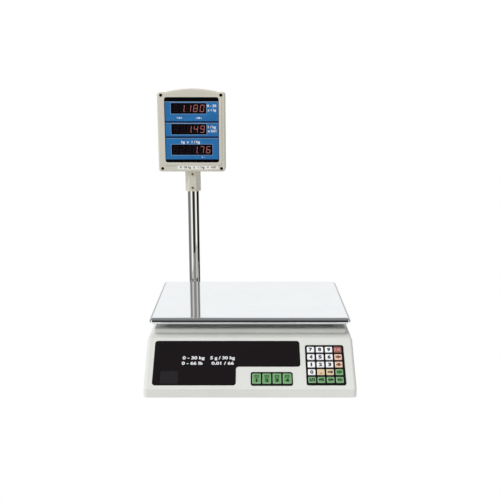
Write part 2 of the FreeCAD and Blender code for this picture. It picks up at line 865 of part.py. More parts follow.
def cap_screws(name, places, seat, end):
    """Cap screws whose heads stand on the seat height and whose ends reach the end height."""
    screws = []
    for n, x in enumerate(places, 1):
        head = rod(f"{name}_head_{n}", (x, "pan_y", seat), "cap_head_radius", "cap_head_height")
        shank = rod(f"{name}_shank_{n}", (x, "pan_y", end), "cell_bolt", f"{seat} - {end}")
        screws.append(fuse(f"{name}_{n}", head, shank))
    return screws


def make_spider_screws():
    screws = cap_screws("spider_screw", FREE_BOLTS, "(spider_top - spider_recess)", "free_screw_end")
    return keep(group("spider_screws", *screws))


def make_spider():
    """A cast cross with a bar-shaped hub and an offset column down to the load cell."""
    bars = []
    for sign, letter in ((1, "a"), (-1, "b")):
        bar = box(f"spider_bar_{letter}", (f"-{CUP_REACH}", CUP_REACH),
                  ("-spider_bar/2", "spider_bar/2"), (SPIDER_BOTTOM, "spider_top"))
        arm = group(f"spider_arm_{letter}", bar)
        arm.Placement.Rotation = FreeCAD.Rotation(FreeCAD.Vector(0, 0, 1), 1)
        bind(arm, "Placement.Rotation.Angle", f"{sign}*atan2(cup_y; cup_x)")
        bind(arm, "Placement.Base.y", "pan_y")
        bars.append(arm)
    hub = box("spider_hub", ("-hub_width/2", "hub_width/2"),
              ("pan_y - hub_depth/2", "pan_y + hub_depth/2"), (SPIDER_BOTTOM, "spider_top"))
    column = rod("spider_column", ("column_x", "pan_y", CELL_TOP), "column_radius",
                 f"spider_top - {CELL_TOP}")
    ends = [rod(f"spider_end_{n}", (x, y, SPIDER_BOTTOM), "spider_end_radius", "spider_thick")
            for n, (x, y) in enumerate(cup_places(), 1)]
    blank = fuse("spider_blank", *bars, hub, column, *ends)
    tools = []
    for n, x in enumerate(FREE_BOLTS, 1):
        tools.append(rod(f"spider_bolt_hole_{n}", (x, "pan_y", f"{CELL_TOP} - 1"),
                         "cell_bolt_hole", "spider_top"))
        tools.append(rod(f"spider_bolt_recess_{n}", (x, "pan_y", "spider_top - spider_recess"),
                         "cap_recess_radius", "spider_recess + 1"))
    return keep(cut("spider", blank, *tools))


def cup_places():
    """The centres of the four rubber cups."""
    return [(f"{side}cup_x", f"pan_y {end} cup_y") for side in ("-", "") for end in "-+"]


def make_spider_cups():
    cups = [rod(f"spider_cup_{n}", (x, y, "spider_top"), "cup_radius",
                "pan_top - pan_sheet - spider_top")
            for n, (x, y) in enumerate(cup_places(), 1)]
    return keep(group("spider_cups", *cups))


def make_pan():
    body = new_body("pan")
    low, high = "pan_y - pan_depth/2", "pan_y + pan_depth/2"
    outline = sketch(body, "pan_outline", "XY_Plane", "pan_top - pan_skirt")
    rectangle(outline, ("-pan_width/2", "pan_width/2"), (low, high))
    pad(body, outline, "pan_skirt")
    round_edges(body, "pan_corners", "pan_corner", lambda edge, middle: along(edge, "z"))
    top = value("pan_top")
    round_edges(body, "pan_fold", "pan_round", lambda edge, middle: near(middle.z, top))
    hollow = sketch(body, "pan_hollow", "XY_Plane", "pan_top - pan_skirt")
    rectangle(hollow, ("-pan_width/2 + pan_sheet", "pan_width/2 - pan_sheet"),
              (f"{low} + pan_sheet", f"{high} - pan_sheet"))
    pocket(body, hollow, "pan_skirt - pan_sheet - pan_round", flipped=True)
    inner = sketch(body, "pan_inner", "XY_Plane", "pan_top - pan_skirt")
    rectangle(inner, ("-pan_width/2 + pan_round", "pan_width/2 - pan_round"),
              (f"{low} + pan_round", f"{high} - pan_round"))
    pocket(body, inner, "pan_skirt - pan_sheet", flipped=True)
    return keep(body)


# Pole and head

def make_pole_socket():
    centre = ("pole_x", "pole_y")
    sleeve = rod("socket_sleeve", (*centre, "sleeve_bottom"), "sleeve_radius", "deck - sleeve_bottom")
    collar = rod("socket_collar", (*centre, "deck"), "collar_radius", "collar_top - deck")
    lugs = box("socket_lugs", ("pole_x - lug_reach", "pole_x + lug_reach"),
               ("pole_y - lug_side", "pole_y + lug_side"), ("deck - wall - lug_thick", "deck - wall"))
    blank = fuse("socket_blank", sleeve, collar, lugs)
    bore = rod("socket_bore", (*centre, "pole_bottom"), BORE, "collar_top")
    cable_hole = rod("socket_cable_hole", (*centre, "sleeve_bottom - 1"), "cable_hole",
                     "pole_bottom - sleeve_bottom + 2")
    return keep(cut("pole_socket", blank, bore, cable_hole))


def make_pole():
    centre = ("pole_x", "pole_y")
    tube = rod("pole_outer", (*centre, "pole_bottom"), "pole_radius", "pole_top - pole_bottom")
    hollow = rod("pole_hollow", (*centre, "pole_bottom - 1"), "pole_radius - pole_wall",
                 "pole_top - pole_bottom + 2")
    holes = [rod(f"pole_screw_hole_{n}", ("pole_x", "pole_y - pole_radius - 1", z),
                 "neck_screw_hole", "pole_radius", "y")
             for n, z in enumerate(("neck_screw_low", "neck_screw_high"), 1)]
    return keep(cut("pole", tube, hollow, *holes))


def arched_outline(drawing, inset):
    """The head's outline: straight sides, level shoulders and a shallow arch over them."""
    half = f"(head_width/2 - {inset})"
    shoulder = f"(head_shoulder - {inset})"
    left, right = f"pole_x - {half}", f"pole_x + {half}"
    low = f"head_bottom + {inset}"
    corners = [(f"pole_x - head_arch/2", shoulder), (left, shoulder), (left, low), (right, low),
               (right, shoulder), (f"pole_x + head_arch/2", shoulder)]
    places = [FreeCAD.Vector(value(u), value(v), 0) for u, v in corners]
    for start, end in zip(places, places[1:]):
        drawing.addGeometry(Part.LineSegment(start, end), False)
    crown = FreeCAD.Vector(value("pole_x"), value(f"head_top - {inset}"), 0)
    arch = drawing.addGeometry(Part.Arc(places[-1], crown, places[0]), False)
    for n in range(4):
        drawing.addConstraint(Sketcher.Constraint("Coincident", n, 2, n + 1, 1))
    ends = ((4, 2), (0, 1))
    starts = sorted((1, 2), key=lambda point: -drawing.getPoint(arch, point).x)
    for point, (line, end) in zip(starts, ends):
        drawing.addConstraint(Sketcher.Constraint("Coincident", arch, point, line, end))
    for n, (u, v) in enumerate(corners[:-1]):
        lock(drawing, "DistanceX", n, 1, u)
        lock(drawing, "DistanceY", n, 1, v)
    lock(drawing, "DistanceX", 4, 2, corners[-1][0])
    lock(drawing, "DistanceY", 4, 2, corners[-1][1])
    rise = f"(head_top - {inset} - {shoulder})"
    radius = f"((head_arch/2)^2 + {rise}^2)/(2*{rise})"
    size = drawing.addConstraint(Sketcher.Constraint("Radius", arch, value(radius)))
    drawing.setExpression(f"Constraints[{size}]", in_sheet(radius))


def head_screws():
    """The corner screws' places: across and up."""
    return [(f"pole_x {side} head_screw_x", height)
            for side in "-+" for height in ("head_screw_low", "head_screw_high")]


def make_head_shell(name, to_front):
    """Half of the head's casing with half of the neck, split through the pole's axis."""
    body = new_body(name)
    depth = "pole_y - head_front" if to_front else "head_back - pole_y"
    outline = sketch(body, f"{name}_outline", "XZ_Plane", "-pole_y")
    arched_outline(outline, "0")
    pad(body, outline, depth, flipped=not to_front)
    round_edges(body, f"{name}_corners", "head_corner",
                lambda edge, middle: along(edge, "y") and near(abs(middle.x - value("pole_x")),
                                                               value("head_width/2")))
    face = value("head_front" if to_front else "head_back")
    round_edges(body, f"{name}_edges", "head_round", lambda edge, middle: near(middle.y, face))
    neck = sketch(body, f"{name}_neck", "XY_Plane", "neck_bottom")
    side = "-" if to_front else "+"
    reach = f"pole_y {side} neck_width/2"
    shallow = f"pole_y {side} (neck_width/2 - neck_chamfer)"
    left, right = "pole_x - neck_width/2", "pole_x + neck_width/2"
    corners = [(left, "pole_y"), (right, "pole_y"), (right, shallow),
               (f"{right} - neck_chamfer", reach), (f"{left} + neck_chamfer", reach), (left, shallow)]
    polygon(neck, corners)
    pad(body, neck, "head_bottom - neck_bottom + 1")
    if to_front:
        lip = sketch(body, f"{name}_lip", "XZ_Plane", "-head_front")
        rectangle(lip, ("glass_left - lip_width", "glass_right + lip_width"),
                  ("glass_bottom - lip_width", "glass_top + lip_width"))
        pad(body, lip, "lip_height")
        glass_middle = value("(glass_left + glass_right)/2")
        half_lip = value("(glass_right - glass_left)/2 + lip_width")
        round_edges(body, f"{name}_lip_corners", "glass_corner + 2",
                    lambda edge, middle: along(edge, "y") and middle.y < face
                    and near(abs(middle.x - glass_middle), half_lip))
    cavity = sketch(body, f"{name}_cavity", "XZ_Plane", "-pole_y")
    arched_outline(cavity, "head_wall")
    pocket(body, cavity, f"{depth} - head_wall", flipped=to_front)
    bosses = sketch(body, f"{name}_bosses", "XZ_Plane", "-pole_y")
    for x, z in head_screws():
        circle(bosses, x, z, "head_boss_radius")
    pad(body, bosses, f"{depth} - 1", flipped=not to_front)
    bore = sketch(body, f"{name}_bore", "XY_Plane", "neck_bottom")
    circle(bore, "pole_x", "pole_y", BORE)
    pocket(body, bore, "head_bottom - neck_bottom + 10", flipped=True)
    shanks = sketch(body, f"{name}_shanks", "XZ_Plane", "-pole_y")
    for x, z in head_screws():
        circle(shanks, x, z, "head_thread_hole")
    if to_front:
        for z in ("neck_screw_low", "neck_screw_high"):
            circle(shanks, "pole_x", z, "head_thread_hole")
        pocket(body, shanks, "pole_y - head_front + 5", flipped=True)
        recesses = sketch(body, f"{name}_recesses", "XZ_Plane", "-head_front + lip_height")
        for x, z in head_screws():
            circle(recesses, x, z, "head_screw_recess")
        pocket(body, recesses, "lip_height + head_screw_depth")
        seat = sketch(body, f"{name}_seat", "XZ_Plane", "-head_front + lip_height")
        rectangle(seat, ("glass_left", "glass_right"), ("glass_bottom", "glass_top"))
        pocket(body, seat, "lip_height + glass_thick")
        half_glass = value("(glass_right - glass_left)/2")
        round_edges(body, f"{name}_seat_corners", "glass_corner",
                    lambda edge, middle: along(edge, "y") and middle.y < face + 2
                    and near(abs(middle.x - glass_middle), half_glass))
        view = sketch(body, f"{name}_view", "XZ_Plane", "-head_front")
        rectangle(view, ("glass_left + view_margin", "glass_right - view_margin"),
                  ("glass_bottom + view_margin", "glass_top - view_margin"))
        pocket(body, view, "head_wall + glass_thick")
    else:
        pocket(body, shanks, "head_thread_depth")
    return keep(body)


def make_head_window():
    """The printed clear panel that sits in the front shell's seat."""
    body = new_body("head_window")
    outline = sketch(body, "head_window_outline", "XZ_Plane", "-head_front - glass_thick")
    rectangle(outline, ("glass_left + fit_gap", "glass_right - fit_gap"),
              ("glass_bottom + fit_gap", "glass_top - fit_gap"))
    pad(body, outline, "glass_thick")
    round_edges(body, "head_window_corners", "glass_corner", lambda edge, middle: along(edge, "y"))
    return keep(body)


def make_head_board():
    """The display board with its three rows of digits."""
    plate = box("head_board_plate", ("glass_left + head_board_side", "glass_right - head_board_side"),
                ("digit_back", "digit_back + board_thick"),
                ("glass_bottom + head_board_low", "glass_top - head_board_high"))
    rows = (("weight", "digit"), ("price", "digit"), ("total", "total"))
    modules = [box(f"{row}_module", (f"{span}_left", f"{span}_right"), ("digit_front", "digit_back"),
                   (f"{row}_bottom", f"{row}_top"))
               for row, span in rows]
    return keep(fuse("head_board", plate, *modules))


def make_head_screws():
    screws = []
    seat = "head_front + head_screw_depth"
    for n, (x, z) in enumerate(head_screws(), 1):
        head = rod(f"head_screw_head_{n}", (x, f"{seat} - head_screw_height", z), "head_screw_head",
                   "head_screw_height", "y")
        shank = rod(f"head_screw_shank_{n}", (x, seat, z), "head_thread", "head_screw_length", "y")
        screws.append(fuse(f"head_screw_{n}", head, shank))
    flat = "pole_y - neck_width/2"
    for n, z in enumerate(("neck_screw_low", "neck_screw_high"), 1):
        head = rod(f"neck_screw_head_{n}", ("pole_x", f"{flat} - neck_screw_height", z),
                   "neck_screw_head", "neck_screw_height", "y")
        shank = rod(f"neck_screw_shank_{n}", ("pole_x", flat, z), "head_thread",
                    "neck_screw_length", "y")
        screws.append(fuse(f"neck_screw_{n}", head, shank))
    return keep(group("head_screws", *screws))


# Rear wall and deck fittings

def fitting(name, x, width, height, depth):
    """A flanged block set into the rear wall."""
    flange = box(f"{name}_flange", (f"{x} - {width}/2 - fitting_margin", f"{x} + {width}/2 + fitting_margin"),
                 (BACK, f"{BACK} + fitting_flange"),
                 (f"fitting_z - {height}/2 - fitting_margin", f"fitting_z + {height}/2 + fitting_margin"))
    block = box(f"{name}_block", (f"{x} - {width}/2", f"{x} + {width}/2"),
                (f"{BACK} - {depth}", BACK),
                (f"fitting_z - {height}/2", f"fitting_z + {height}/2"))
    return fuse(f"{name}_blank", flange, block)


def make_power_inlet():
    """A three-pin mains inlet; its lead unplugs."""
    blank = fitting("inlet", "inlet_x", "inlet_width", "inlet_height", "inlet_depth")
    side = "inlet_width/2 - inlet_side"
    roof = "inlet_height/2 - inlet_roof"
    cavity = box("inlet_cavity", (f"inlet_x - ({side})", f"inlet_x + {side}"),
                 (f"{BACK} - inlet_recess", f"{BACK} + fitting_flange + 1"),
                 (f"fitting_z - ({roof})", f"fitting_z + {roof}"))
    shell = cut("inlet_shell", blank, cavity)
    places = (("- inlet_pin_side", "- inlet_pin_rise"), ("", "+ inlet_pin_rise"),
              ("+ inlet_pin_side", "- inlet_pin_rise"))
    pins = [box(f"inlet_pin_{n}", (f"inlet_x {x} - inlet_pin_width/2", f"inlet_x {x} + inlet_pin_width/2"),
                (f"{BACK} - inlet_recess - 1", f"{BACK} - inlet_pin_tip"),
                (f"fitting_z {z} - inlet_pin_height/2", f"fitting_z {z} + inlet_pin_height/2"))
            for n, (x, z) in enumerate(places, 1)]
    return keep(fuse("power_inlet", shell, *pins))


def make_switch():
    """A rocker on trunnions in a snap-in frame; one end is pressed in at rest."""
    blank = fitting("switch", "switch_x", "rocker_width", "rocker_height", "switch_depth")
    side = "rocker_width/2 - switch_side"
    roof = "rocker_height/2 - switch_roof"
    cavity = box("switch_cavity", (f"switch_x - ({side})", f"switch_x + {side}"),
                 (f"{BACK} - switch_recess", f"{BACK} + fitting_flange + 1"),
                 (f"fitting_z - ({roof})", f"fitting_z + {roof}"))
    pivot = f"{BACK} - rocker_pivot"
    bearing_end = "rocker_height/2 - trunnion_reach + trunnion_gap"
    bearing = rod("switch_bearing", ("switch_x", pivot, f"fitting_z - ({bearing_end})"),
                  "trunnion_radius + running_gap", f"2*({bearing_end})")
    keep(cut("switch_frame", blank, cavity, bearing))
    body = new_body("switch_rocker")
    profile = sketch(body, "rocker_profile", "XY_Plane", "-rocker_height/2 + switch_roof + rocker_gap")
    polygon(profile, [("-5", "-5"), ("5", "-5"), ("7.8", "1.5"), ("7.8", "4"),
                      ("0.01", "2.8"), ("-7.8", "4"), ("-7.8", "1.5")])
    pad(body, profile, "rocker_height - 2*(switch_roof + rocker_gap)")
    trunnions = sketch(body, "rocker_trunnions", "XY_Plane", "-rocker_height/2 + trunnion_reach")
    circle(trunnions, "0.001", "0.001", "trunnion_radius")
    pad(body, trunnions, "rocker_height - 2*trunnion_reach")
    body.Placement.Rotation = FreeCAD.Rotation(FreeCAD.Vector(0, 0, 1), 1)
    bind(body, "Placement.Rotation.Angle", "rocker_tilt")
    bind(body, "Placement.Base.x", "switch_x")
    bind(body, "Placement.Base.y", pivot)
    bind(body, "Placement.Base.z", "fitting_z")
    return keep(body)


def make_spirit_level():
    """A round bubble level let into the rear deck."""
    cup = rod("level_cup", ("level_x", "level_y", "deck - level_depth"), "level_radius", "level_depth")
    flange = rod("level_flange", ("level_x", "level_y", "deck"), "level_flange_radius",
                 "level_flange_thick")
    return keep(fuse("spirit_level", cup, flange))


# Inner units

def make_battery():
    low = "floor_top"
    case = box("battery_case", ("battery_left", "battery_left + battery_width"),
               ("battery_front", "battery_front + battery_depth"), (low, f"{low} + battery_height"))
    tab_front = "battery_front + battery_tab_front"
    tab_low = f"{low} + battery_height"
    tabs = [box(f"battery_tab_{n}", (f"battery_left + {x}", f"battery_left + {x} + battery_tab_width"),
                (tab_front, f"{tab_front} + battery_tab_width"),
                (tab_low, f"{tab_low} + battery_tab_height"))
            for n, x in enumerate(("battery_tab_first", "battery_tab_second"), 1)]
    return keep(fuse("battery", case, *tabs))


def make_transformer():
    """A laminated core with its winding and two mounting feet."""
    x, y = "transformer_x", "transformer_y"
    core = box("transformer_core", (x, f"{x} + core_width"), (y, f"{y} + core_depth"),
               ("floor_top", "floor_top + core_height"))
    winding = box("transformer_winding", (f"{x} + winding_side", f"{x} + core_width - winding_side"),
                  (f"{y} - winding_side", f"{y} + core_depth + winding_side"),
                  ("floor_top + winding_rise", "floor_top + core_height - winding_rise"))
    feet = box("transformer_feet", (f"{x} - ear_width", f"{x} + core_width + ear_width"),
               (f"{y} + ear_inset", f"{y} + core_depth - ear_inset"), ("floor_top", "floor_top + ear_thick"))
    return keep(fuse("transformer", core, winding, feet))


# Fractions of the main board's width and depth, then each block's width, depth and height.
BOARD_POSTS = ((0.06, 0.05), (0.94, 0.05), (0.06, 0.95), (0.94, 0.95))
BOARD_PARTS = ((0.2, 0.2, 22, 22, 4), (0.55, 0.15, 26, 12, 4), (0.15, 0.6, 12, 30, 18), (0.6, 0.55, 28, 8, 9))


def make_main_board():
    left, front, low = "main_board_left", "main_board_front", "main_board_bottom"
    plate = box("main_plate", (left, f"{left} + main_board_width"),
                (front, f"{front} + main_board_depth"), (low, f"{low} + board_thick"))
    posts = [rod(f"main_post_{n}", (f"{left} + {x}*main_board_width", f"{front} + {y}*main_board_depth",
                                    "floor_top"), "post_radius", f"{low} - floor_top")
             for n, (x, y) in enumerate(BOARD_POSTS, 1)]
    top = f"{low} + board_thick"
    chips = []
    for n, (x, y, width, depth, height) in enumerate(BOARD_PARTS, 1):
        start_x = f"{left} + {x}*main_board_width"
        start_y = f"{front} + {y}*main_board_depth"
        chips.append(box(f"main_chip_{n}", (start_x, f"{start_x} + {width}"),
                         (start_y, f"{start_y} + {depth}"), (top, f"{top} + {height}")))
    return keep(fuse("main_board", plate, *posts, *chips))


make_lower_chassis()
make_upper_housing()
make_window_panel()
make_bezel("keypad")
make_bezel("memory")
make_keys()
make_keypad_board()
make_seller_display()
make_housing_screws()
make_feet()
make_load_cell()
make_load_cell_mount()
make_spider()
make_spider_screws()
make_spider_cups()
make_pan()
make_pole_socket()
make_pole()
make_head_shell("head_front_shell", True)
make_head_shell("head_rear_shell", False)
make_head_window()
make_head_board()
make_head_screws()
make_power_inlet()
make_switch()
make_spirit_level()
make_battery()
make_transformer()
make_main_board()

doc.recompute()
for item in doc.Objects:
    if "Invalid" in item.State or "Error" in item.State:
        raise ValueError(f"{item.Name} failed: {item.State}")
for item in pieces:
    if item.Shape.isNull() or not item.Shape.isValid():
        raise ValueError(f"{item.Label} has no valid shape")

os.makedirs("parts", exist_ok=True)
for item in pieces:
    item.Shape.exportStep(f"parts/{item.Label}.step")
    span = item.Shape.optimalBoundingBox(False)
    print(f"{item.Label:24s} {len(item.Shape.Solids)} solids {item.Shape.Volume:10.0f} mm3 "
          f"x {span.XMin:7.1f} {span.XMax:7.1f} y {span.YMin:7.1f} {span.YMax:7.1f} "
          f"z {span.ZMin:6.1f} {span.ZMax:6.1f}")
print(len(pieces), "sub-parts")
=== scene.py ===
import json
import math
import bmesh
import bpy
from mathutils import Matrix, Vector


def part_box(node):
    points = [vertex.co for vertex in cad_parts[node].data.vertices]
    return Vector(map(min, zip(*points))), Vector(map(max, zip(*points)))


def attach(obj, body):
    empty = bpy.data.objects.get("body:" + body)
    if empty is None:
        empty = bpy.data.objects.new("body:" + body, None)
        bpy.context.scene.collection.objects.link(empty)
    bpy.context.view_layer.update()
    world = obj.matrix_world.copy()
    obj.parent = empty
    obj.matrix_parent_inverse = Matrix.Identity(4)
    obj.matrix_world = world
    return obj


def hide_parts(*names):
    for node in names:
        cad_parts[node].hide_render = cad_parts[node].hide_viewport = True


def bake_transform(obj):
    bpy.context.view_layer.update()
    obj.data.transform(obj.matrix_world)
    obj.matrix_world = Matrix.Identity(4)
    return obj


# The looks of a counter-top price scale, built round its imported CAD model.
# Lengths are in metres; those written with MM are millimetres.

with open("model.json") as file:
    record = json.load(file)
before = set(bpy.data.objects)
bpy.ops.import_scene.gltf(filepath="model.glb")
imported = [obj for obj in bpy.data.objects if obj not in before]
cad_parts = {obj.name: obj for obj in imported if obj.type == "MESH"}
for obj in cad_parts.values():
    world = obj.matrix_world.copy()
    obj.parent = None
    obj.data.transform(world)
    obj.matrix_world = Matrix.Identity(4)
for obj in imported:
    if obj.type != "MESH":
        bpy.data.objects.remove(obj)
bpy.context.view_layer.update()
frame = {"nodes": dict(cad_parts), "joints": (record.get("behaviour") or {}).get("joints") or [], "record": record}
nodes = frame["nodes"]
joints = {joint["name"]: joint for joint in frame["joints"]}
MM = 0.001


def middle(node):
    low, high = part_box(node)
    return (Vector(low) + Vector(high)) / 2


def extent(node):
    low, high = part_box(node)
    return Vector(high) - Vector(low)


# ---------------------------------------------------------------- drawing planes

def plane(origin, across, up):
    """A drawing frame: u across, v up, and w outward."""
    across, up = Vector(across), Vector(up)
    turn = Matrix((across, up, across.cross(up))).transposed().to_4x4()
    return Matrix.Translation(origin) @ turn


# The keypad's slope: keys travel straight into it, so their joint gives its direction.
INWARD = Vector(joints["key_5_press"]["axis"]).normalized()
ACROSS = Vector((1, 0, 0))
UPHILL = (-INWARD).cross(ACROSS)


def slope_plane(node):
    """A frame on a node's outer face on the slope, and the face's width and height."""
    size = extent(node)
    rise, run = UPHILL.z, UPHILL.y
    # The box of a tilted block: depth = height*run + thick*rise, height = height*rise + thick*run.
    span = run * run - rise * rise
    height = (size.y * run - size.z * rise) / span
    thick = (size.z * run - size.y * rise) / span
    return plane(middle(node) - INWARD * (thick / 2), ACROSS, UPHILL), size.x, height


# ---------------------------------------------------------------- mesh building

def in_metres(points):
    """Pairs in millimetres, in metres."""
    return [(first * MM, second * MM) for first, second in points]


def rounded(width, height, radius, steps=6):
    """A rounded rectangle about the origin, anticlockwise, as corner arcs."""
    points = []
    for quarter, (right, top) in enumerate(((1, 1), (-1, 1), (-1, -1), (1, -1))):
        u = right * (width / 2 - radius)
        v = top * (height / 2 - radius)
        for step in range(steps + 1):
            angle = math.pi / 2 * (quarter + step / steps)
            points.append((u + radius * math.cos(angle), v + radius * math.sin(angle)))
    return points


def disc(radius, count=48):
    return [(radius * math.cos(math.tau * n / count), radius * math.sin(math.tau * n / count))
            for n in range(count)]


def lift(outline, w, centre=(0, 0)):
    """A flat outline raised to w and moved to a centre."""
    return [(u + centre[0], v + centre[1], w) for u, v in outline]


def skin(mesh, rings, frame_matrix=Matrix(), capped=True):
    """Skins closed rings of equal point counts, in order, and caps the first and last."""
    loops = [[mesh.verts.new(frame_matrix @ Vector(point)) for point in ring] for ring in rings]
    for low, high in zip(loops, loops[1:]):
        for n in range(len(low)):
            mesh.faces.new((low[n - 1], low[n], high[n], high[n - 1]))
    if capped:
        mesh.faces.new(list(reversed(loops[0])))
        mesh.faces.new(loops[-1])
    return loops


def slab(mesh, outline, low, high, frame_matrix=Matrix(), centre=(0, 0)):
    skin(mesh, [lift(outline, low, centre), lift(outline, high, centre)], frame_matrix)


def bar(mesh, left, bottom, right, top, low, high, frame_matrix=Matrix()):
    """A thin rectangular plate between two corners."""
    corners = [(left, bottom), (right, bottom), (right, top), (left, top)]
    slab(mesh, corners, low, high, frame_matrix)


def border(mesh, left, bottom, right, top, line, low, high, frame_matrix=Matrix()):
    """A rectangular line drawn just inside the corners."""
    bar(mesh, left, bottom, right, bottom + line, low, high, frame_matrix)
    bar(mesh, left, top - line, right, top, low, high, frame_matrix)
    bar(mesh, left, bottom + line, left + line, top - line, low, high, frame_matrix)
    bar(mesh, right - line, bottom + line, right, top - line, low, high, frame_matrix)


def lathe(mesh, profile, frame_matrix=Matrix(), count=64, capped=False):
    """Turns (radius, w) points about the frame's w axis; a closed profile needs no caps."""
    rings = [lift(disc(radius, count), w) for radius, w in profile]
    loops = skin(mesh, rings, frame_matrix, capped=capped)
    if not capped:
        first, last = loops[0], loops[-1]
        for n in range(count):
            mesh.faces.new((last[n - 1], last[n], first[n], first[n - 1]))


# A capital's height as a share of the font's size.
CAPITAL = 0.7


def glyphs(mesh, text, height, width, centre, low, high, frame_matrix, weight):
    """Raised characters, their capitals height tall, stretched to a width and thickened by a weight."""
    curve = bpy.data.curves.new("glyphs", "FONT")
    curve.body = text
    curve.size = height / CAPITAL
    curve.offset = weight * height
    curve.extrude = (high - low) / 2
    curve.resolution_u = 3
    holder = bpy.data.objects.new("glyphs", curve)
    shape = bpy.data.meshes.new_from_object(holder)
    across = [vertex.co.x for vertex in shape.vertices]
    stretch = width / (max(across) - min(across))
    start = (min(across) + max(across)) / 2 * stretch
    shift = Vector((centre[0] - start, centre[1] - height / 2, (low + high) / 2))
    shape.transform(frame_matrix @ Matrix.Translation(shift) @ Matrix.Diagonal((stretch, 1, 1, 1)))
    mesh.from_mesh(shape)
    bpy.data.meshes.remove(shape)
    bpy.data.objects.remove(holder)
    bpy.data.curves.remove(curve)


# Edges that turn by less than this are smooth.
SMOOTH_BELOW = math.radians(35)


def piece(name, mesh, body, paint, replaces=None):
    """Finishes a mesh as a piece that rides on a body, or is left unattached."""
    bmesh.ops.remove_doubles(mesh, verts=mesh.verts, dist=1e-7)
    bmesh.ops.recalc_face_normals(mesh, faces=mesh.faces)
    data = bpy.data.meshes.new(name)
    mesh.to_mesh(data)
    mesh.free()
    data.shade_smooth()
    data.set_sharp_from_angle(angle=SMOOTH_BELOW)
    data.materials.append(paint)
    made = bpy.data.objects.new(name, data)
    bpy.context.scene.collection.objects.link(made)
    if body:
        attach(made, body)
    if replaces:
        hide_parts(replaces)
    return made


# ---------------------------------------------------------------- camera, floor and light

CAMERA_PLACE = (0, -1.2687, 0.5175)
CAMERA_PITCH = 0.235
CAMERA_LENS = 52.09


def make_camera():
    data = bpy.data.cameras.new("camera")
    data.lens = CAMERA_LENS
    data.sensor_width = 36
    camera = bpy.data.objects.new("camera", data)
    camera.location = CAMERA_PLACE
    camera.rotation_euler = (math.pi / 2 - CAMERA_PITCH, 0, 0)
    bpy.context.scene.collection.objects.link(camera)
    bpy.context.scene.camera = camera


TABLE_GLOW = 1.0
TABLE_HALF = 8


def make_floor():
    """A lit white table, left out of reflections so that bright metal mirrors the studio."""
    mesh = bpy.data.meshes.new("floor")
    corners = [(x * TABLE_HALF, y * TABLE_HALF, 0) for x, y in ((-1, -1), (1, -1), (1, 1), (-1, 1))]
    mesh.from_pydata(corners, [], [(0, 1, 2, 3)])
    floor = bpy.data.objects.new("floor", mesh)
    bpy.context.scene.collection.objects.link(floor)
    paint = bpy.data.materials.new("floor_paper")
    paint.use_nodes = True
    shader = paint.node_tree.nodes["Principled BSDF"]
    shader.inputs["Base Color"].default_value = (0, 0, 0, 1)
    shader.inputs["Specular IOR Level"].default_value = 0
    shader.inputs["Emission Color"].default_value = (1, 1, 1, 1)
    shader.inputs["Emission Strength"].default_value = TABLE_GLOW
    mesh.materials.append(paint)
    floor.visible_glossy = False


# What bright metal mirrors at eye level, as (bearing from the camera's side in degrees, grey).
# Positive bearings lie to the right as the camera looks.
STUDIO_BANDS = ((-180, 0.6), (-164, 0.6), (-152, 0.42), (-138, 0.3), (-112, 0.13), (-90, 0.2),
                (-66, 0.24), (-54, 0.75), (-42, 1.0), (-23, 1.0), (-18, 0.04), (0, 0.025), (24, 0.03),
                (32, 0.25), (42, 1.0), (66, 1.0), (72, 0.3), (80, 0.03), (92, 0.001),
                (126, 0.001), (138, 0.15), (152, 0.4), (164, 0.6), (180, 0.6))
# What it mirrors overhead, as (place from the camera's side at -1 to the wall behind at 1, grey).
STUDIO_SKY = ((-0.55, 0.3), (-0.42, 0.2), (0.2, 0.24), (0.36, 0.93))
# What it mirrors between eye level and overhead, over the same places.
STUDIO_WALLS = ((-1.0, 0.42), (-0.3, 0.3), (0.2, 0.24), (0.5, 0.5), (0.75, 0.93))
# Where each of them takes over, as (height from straight down at -1 to straight up at 1, share).
OVERHEAD = ((0.80, 0.0), (0.88, 1.0))
RAISED = ((0.156, 0.0), (0.20, 1.0))
UNDERNEATH = ((-0.33, 1.0), (-0.30, 0.0))
# How much of the walls shows over the bands, as (place, share).
WALL_SHARE = ((0.2, 0.6), (0.6, 1.0))
TABLE_MIRRORED = (0.95, 0.95, 0.95)


def feed(tree, socket, value):
    """Links a socket to another node's output, or sets it to a number or a colour."""
    if isinstance(value, bpy.types.NodeSocket):
        tree.links.new(value, socket)
    elif isinstance(value, tuple):
        socket.default_value = (*value, 1)
    else:
        socket.default_value = value


def math_node(tree, operation, *values):
    node = tree.nodes.new("ShaderNodeMath")
    node.operation = operation
    for socket, value in zip(node.inputs, values):
        feed(tree, socket, value)
    return node.outputs["Value"]


def ramp_node(tree, factor, stops):
    """A colour ramp of greys through (place from -1 to 1, grey) stops."""
    node = tree.nodes.new("ShaderNodeValToRGB")
    tree.links.new(math_node(tree, "MULTIPLY_ADD", factor, 0.5, 0.5), node.inputs["Fac"])
    elements = node.color_ramp.elements
    while len(elements) < len(stops):
        elements.new(0.5)
    for element, (place, grey) in zip(elements, stops):
        element.position = (place + 1) / 2
        element.color = (grey, grey, grey, 1)
    return node.outputs["Color"]


def background(tree, colour, strength):
    node = tree.nodes.new("ShaderNodeBackground")
    feed(tree, node.inputs["Strength"], strength)
    feed(tree, node.inputs["Color"], colour)
    return node.outputs["Background"]


def mix_colours(tree, factor, *colours):
    """Blends two colours, each a link or a plain colour."""
    mix = tree.nodes.new("ShaderNodeMix")
    mix.data_type = "RGBA"
    tree.links.new(factor, mix.inputs["Factor"])
    for name, colour in zip("AB", colours):
        feed(tree, mix.inputs[name], colour)
    return mix.outputs["Result"]


def mix_shaders(tree, factor, first, second):
    node = tree.nodes.new("ShaderNodeMixShader")
    tree.links.new(factor, node.inputs["Fac"])
    tree.links.new(first, node.inputs[1])
    tree.links.new(second, node.inputs[2])
    return node.outputs["Shader"]


